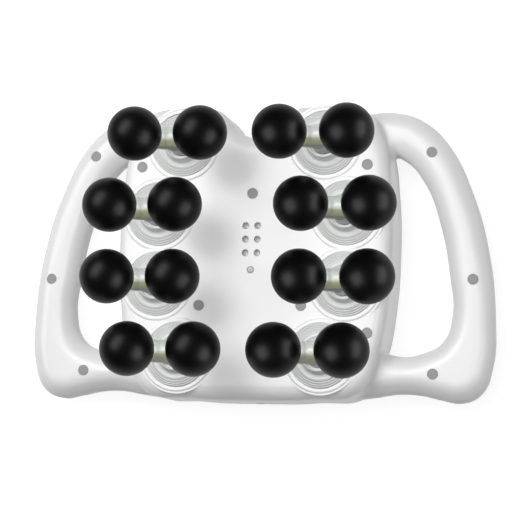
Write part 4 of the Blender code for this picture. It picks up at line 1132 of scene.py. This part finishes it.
class MASSAGER_OT_rear(bpy.types.Operator):
    """Build the control panel with its window and buttons, and the power socket"""

    bl_idname = "massager.rear"
    bl_label = "Rear Panel and Socket"

    def execute(self, context):
        rear = context.scene.massager_rear
        dark = Finish("panel_black", rear.dark, 0.22)
        dark.gloss(14.0 * MM, 0.18, 0.3).grain(0.5 * MM, 0.004 * MM)
        dark.set("Coat Weight", 0.3)
        self.panel(rear, dark)
        self.buttons(rear)
        self.socket(dark)
        return {"FINISHED"}

    def panel(self, rear, dark):
        _, low, high = middle("control_panel")
        width, height = PANEL
        corner = rear.panel_corner
        loop = rounded_box(width, height, corner, 0.0, PANEL_Y)
        panel = link("control_panel_cover", plate("panel", loop, low.z, high.z, edge=0.5 * MM))
        brim = 6.0 * MM
        loop = rounded_box(width + brim, height + brim, corner, 0.0, PANEL_Y)
        carve(panel, plate("flange", loop, FLANGE_Z, FLANGE_Z + 1.6 * MM), "UNION")
        bore, mouth = rear.button_radius + 0.3 * MM, rear.button_radius + 1.2 * MM
        profile = [
            (0.0, CUT_CLEAR), (bore, CUT_CLEAR), (bore, 0.5 * MM), (mouth, -0.4 * MM), (0.0, -0.4 * MM),
        ]
        spots = [middle(name)[0] for name in BUTTONS]
        carve(panel, repeated("holes", turned("hole", profile, 48), spots, low.z))
        window_y = PANEL_Y + DISPLAY_RISE
        loop = rounded_box(*DISPLAY, 1.5 * MM, 0.0, window_y)
        carve(panel, plate("well", loop, low.z - 2.0 * MM, low.z + 0.8 * MM))
        dress(panel, "case", dark.material, "dark_panel", "control_panel")
        play = 0.3 * MM
        loop = rounded_box(DISPLAY[0] - play, DISPLAY[1] - play, 1.4 * MM, 0.0, window_y)
        glass = plate("window", loop, low.z + 0.25 * MM, low.z + 0.79 * MM, edge=0.15 * MM)
        window = Finish("window_glass", (0.004, 0.005, 0.006), 0.06)
        window.gloss(30.0 * MM, 0.04, 0.09)
        window.set("Coat Weight", 0.6)
        dress(link("display_window", glass), "case", window.material, "dark_panel")

    def buttons(self, rear):
        grey = Finish("button_grey", rear.key, 0.5)
        grey.mottle(3.0 * MM, 0.9).grain(0.5 * MM, 0.02 * MM)
        radius = rear.button_radius
        dot = arc(0.45 * MM, 0.0, 360.0, 16)[:-1]
        bar = rounded_box(0.5 * MM, 2.2 * MM, 0.2 * MM, 0.0, 1.1 * MM)
        signs = {
            "power_button": [stroke(1.9 * MM, 125.0, 415.0, 0.5 * MM), bar],
            "mode_button": [[(x + shift * MM, y) for x, y in dot] for shift in (-1.6, 0.0, 1.6)],
            "speed_button": [rounded_box(0.6 * MM, rise * MM, 0.2 * MM, shift * MM, (rise / 2 - 1.5) * MM)
                             for shift, rise in ((-1.5, 1.0), (-0.5, 1.7), (0.5, 2.4), (1.5, 3.1))],
        }
        for name in BUTTONS:
            spot, low, high = middle(name)
            brim, shelf = radius + 1.2 * MM, high.z - 1.2 * MM
            cap = [
                (0.0, high.z), (brim, high.z), (brim, shelf), (radius, shelf), (radius, low.z + 0.1 * MM),
                (radius * 0.86, low.z + 0.02 * MM), (radius * 0.6, low.z + 0.3 * MM), (0.0, low.z + 0.4 * MM),
            ]
            mesh = turned("cap", soften(cap, 0.4 * MM), 48)
            button = link(f"{name}_cap", placed(mesh, spot.x, spot.y))
            dress(button, name, grey.material, "button_grey", name)
            dish = low.z + 0.35 * MM
            marks = []
            for loop in signs[name]:
                outline = [(spot.x - x, spot.y + y) for x, y in loop][::-1]
                marks.append(plate(name, outline, dish - 0.2 * MM, dish + 0.3 * MM))
            pale = Finish(f"sign_{name}", (0.7, 0.7, 0.7), 0.5)
            pale.mottle(1.0 * MM, 0.9).grain(0.3 * MM, 0.01 * MM)
            dress(link(f"{name}_sign", merged(name, marks)), name, pale.material, "button_grey")

    def socket(self, dark):
        flange = SOCKET_RADIUS + 2.0 * MM
        profile = [
            (0.0, -0.6 * MM), (SOCKET_PIN, -1.3 * MM), (SOCKET_PIN, -9.5 * MM), (SOCKET_BORE, -9.5 * MM),
            (SOCKET_BORE, -0.3 * MM), (SOCKET_BORE + 0.5 * MM, 0.0), (SOCKET_RADIUS, 0.0),
            (SOCKET_RADIUS, -2.8 * MM), (flange, -2.8 * MM), (flange, -4.3 * MM), (SOCKET_RADIUS, -4.3 * MM),
            (SOCKET_RADIUS, -13.0 * MM), (0.0, -13.0 * MM),
        ]
        mesh = turned("socket", soften(profile, 0.25 * MM), 48)
        mesh.transform(along(*SOCKET_AXIS))
        dress(link("power_socket", mesh), "case", dark.material, "dark_panel", "dc_socket")


class MASSAGER_OT_inside(bpy.types.Operator):
    """Give the drives, the frame, the boards and the battery their finishes"""

    bl_idname = "massager.inside"
    bl_label = "Inside"

    def execute(self, context):
        steel = Finish("turned_steel", (0.55, 0.55, 0.55), 0.28, 1.0)
        steel.gloss(3.0 * MM, 0.22, 0.36).grain(0.3 * MM, 0.01 * MM)
        can = Finish("motor_can", (0.45, 0.46, 0.48), 0.34, 1.0)
        can.gloss(6.0 * MM, 0.28, 0.42).grain(0.8 * MM, 0.01 * MM)
        nylon = Finish("grey_nylon", (0.30, 0.31, 0.32), 0.55)
        nylon.mottle(10.0 * MM, 0.88).gloss(5.0 * MM, 0.5, 0.62).grain(0.6 * MM, 0.03 * MM)
        board = Finish("solder_mask", (0.03, 0.16, 0.07), 0.42)
        board.mottle(4.0 * MM, 0.72).bump(board.wave(1.2 * MM), 0.02 * MM)
        wrap = Finish("cell_wrap", (0.05, 0.10, 0.30), 0.4)
        wrap.mottle(20.0 * MM, 0.85).bump(wrap.wave(9.0 * MM), 0.4 * MM)
        looks = [("inner_frame", nylon), ("main_board", board)]
        looks += [("control_board", board), ("battery_pack", wrap)]
        looks += [(f"motor_{drive}", can) for drive in DRIVES]
        looks += [(f"crankshaft_{drive}", steel) for drive in DRIVES]
        looks += [(f"connecting_rod_{head}", nylon) for head in HEADS]
        for node, finish in looks:
            frame["nodes"][node].material_slots[0].material = finish.material
        return {"FINISHED"}


class MASSAGER_OT_stage(bpy.types.Operator):
    """Lay the floor, and set up the camera and the lamps"""

    bl_idname = "massager.stage"
    bl_label = "Stage"

    def execute(self, context):
        stage = context.scene.massager_stage
        self.floor(stage)
        self.camera(context, stage)
        self.lamps(context, stage)
        context.scene.view_settings.view_transform = "Standard"
        return {"FINISHED"}

    def floor(self, stage):
        half, drop = 6.0, 0.4 * MM
        shape = bmesh.new()
        bmesh.ops.create_grid(shape, x_segments=8, y_segments=8, size=half)
        bmesh.ops.translate(shape, vec=(0.0, 0.0, -drop), verts=shape.verts)
        floor = link("floor", mesh_from(shape, "floor"))
        paper = Finish("floor_paper", stage.floor, 0.9)
        paper.mottle(0.4, 0.985).grain(3.0 * MM, 0.02 * MM)
        rays = paper.node("ShaderNodeLightPath").outputs
        seen = rays["Is Camera Ray"]
        for ray in ("Is Glossy Ray", "Is Transmission Ray"):
            seen = paper.combine("MAXIMUM", seen, rays[ray])
        glow = paper.combine("MULTIPLY", seen, stage.floor_glow)
        paper.set("Emission Color", (1.0, 1.0, 1.0, 1.0))
        paper.link(glow, paper.shader.inputs["Emission Strength"])
        floor.data.materials.append(paper.material)

    def camera(self, context, stage):
        data = bpy.data.cameras.new("camera")
        data.sensor_width = 36.0
        data.lens = stage.lens
        data.clip_end = 20.0
        camera = bpy.data.objects.new("camera", data)
        context.scene.collection.objects.link(camera)
        level = math.cos(stage.pitch)
        back = Vector((math.sin(stage.yaw) * level, -math.sin(stage.pitch), math.cos(stage.yaw) * level))
        right = Vector((0, 1, 0)).cross(back).normalized()
        up = back.cross(right)
        cos, sin = math.cos(stage.roll), math.sin(stage.roll)
        across = cos * right + sin * up
        above = -sin * right + cos * up
        place = Vector(stage.target) + back * stage.distance
        camera.matrix_world = Matrix.Translation(place) @ Matrix((across, above, back)).transposed().to_4x4()
        context.scene.camera = camera

    def lamps(self, context, stage):
        world = bpy.data.worlds.new("studio")
        world.use_nodes = True
        context.scene.world = world
        sky = world.node_tree.nodes["Background"]
        sky.inputs["Color"].default_value = (1.0, 1.0, 1.0, 1.0)
        sky.inputs["Strength"].default_value = stage.sky
        balls = [obj for obj in bpy.data.objects if obj.name.startswith("ball_")]
        arms = [obj for obj in bpy.data.objects if obj.name.startswith("arm_")]
        strip = (stage.strip_length, stage.strip_width)
        key = self.softbox("key", stage.key_place, stage.key_power, stage.key_size)
        east = self.softbox("east", stage.east_place, stage.side_power, stage.side_size)
        west = self.softbox("west", stage.west_place, stage.side_power, stage.side_size)
        front = self.softbox("front", stage.front_place, stage.front_power, stage.front_size)
        left = self.softbox("left", stage.left_place, stage.left_power, *strip)
        right = self.softbox("right", stage.right_place, stage.right_power, *strip)
        for lamp in (key, east, west, front, left, right):
            self.pick(lamp, "receiver_collection", balls, "EXCLUDE")
        for lamp in (front, left, right):
            self.pick(lamp, "blocker_collection", balls + arms, "EXCLUDE")
        shading = {f"ball_l{row}_inner" for row in (1, 2, 3, 4)}
        others = [ball for ball in balls if ball.name not in shading]
        self.pick(key, "blocker_collection", arms + others, "EXCLUDE")
        for lamp in (left, right):
            lamp.visible_diffuse = False
        sizes = {
            "band": (stage.band_power, stage.band_length, stage.band_width),
            "square": (stage.square_power, stage.square_size),
        }
        for name, spot, kind in BALL_LAMPS:
            lamp = self.softbox(name, spot, *sizes[kind])
            side = [ball for ball in balls if ball.name.startswith(f"ball_{name[0]}")]
            self.pick(lamp, "receiver_collection", side, "INCLUDE")

    def pick(self, lamp, role, objects, state):
        """Let a lamp light, or be blocked by, only these objects or all but them."""
        chosen = bpy.data.collections.new(f"{lamp.name}_{role}")
        for obj in objects:
            chosen.objects.link(obj)
        setattr(lamp.light_linking, role, chosen)
        for item in chosen.collection_objects:
            item.light_linking.link_state = state

    def softbox(self, name, side, power, length, width=None):
        """A softbox that faces the object from one side, square or with its length across that side."""
        data = bpy.data.lights.new(name, "AREA")
        data.shape = "RECTANGLE"
        data.size = length
        data.size_y = width or length
        data.energy = power
        lamp = bpy.data.objects.new(name, data)
        bpy.context.scene.collection.objects.link(lamp)
        place = Vector(side)
        lamp.matrix_world = Matrix.Translation(place) @ place.to_track_quat("Z", "Y").to_matrix().to_4x4()
        return lamp


class MASSAGER_PT_panel(bpy.types.Panel):
    """Buttons and sizes of the massager scene"""

    bl_idname = "MASSAGER_PT_panel"
    bl_label = "Percussion Massager"
    bl_space_type = "VIEW_3D"
    bl_region_type = "UI"
    bl_category = "Massager"

    def draw(self, context):
        for operator in OPERATORS:
            self.layout.operator(operator.bl_idname)
        for group in GROUPS:
            sizes = getattr(context.scene, GROUPS[group])
            self.layout.label(text=group.__doc__)
            for name in group.__annotations__:
                self.layout.prop(sizes, name)


OPERATORS = (
    MASSAGER_OT_case, MASSAGER_OT_plugs, MASSAGER_OT_vents, MASSAGER_OT_boots, MASSAGER_OT_arms,
    MASSAGER_OT_balls, MASSAGER_OT_rear, MASSAGER_OT_inside, MASSAGER_OT_stage,
)
GROUPS = {
    MassagerCase: "massager_case", MassagerHeads: "massager_heads", MassagerRear: "massager_rear",
    MassagerStage: "massager_stage",
}


def register():
    for group, name in GROUPS.items():
        bpy.utils.register_class(group)
        setattr(bpy.types.Scene, name, bpy.props.PointerProperty(type=group))
    for kind in (*OPERATORS, MASSAGER_PT_panel):
        bpy.utils.register_class(kind)


def unregister():
    for kind in (MASSAGER_PT_panel, *reversed(OPERATORS)):
        bpy.utils.unregister_class(kind)
    for group, name in GROUPS.items():
        delattr(bpy.types.Scene, name)
        bpy.utils.unregister_class(group)


def main():
    register()
    bpy.ops.massager.case()
    bpy.ops.massager.plugs()
    bpy.ops.massager.vents()
    bpy.ops.massager.boots()
    bpy.ops.massager.arms()
    bpy.ops.massager.balls()
    bpy.ops.massager.rear()
    bpy.ops.massager.inside()
    bpy.ops.massager.stage()


if __name__ == "__main__":
    main()
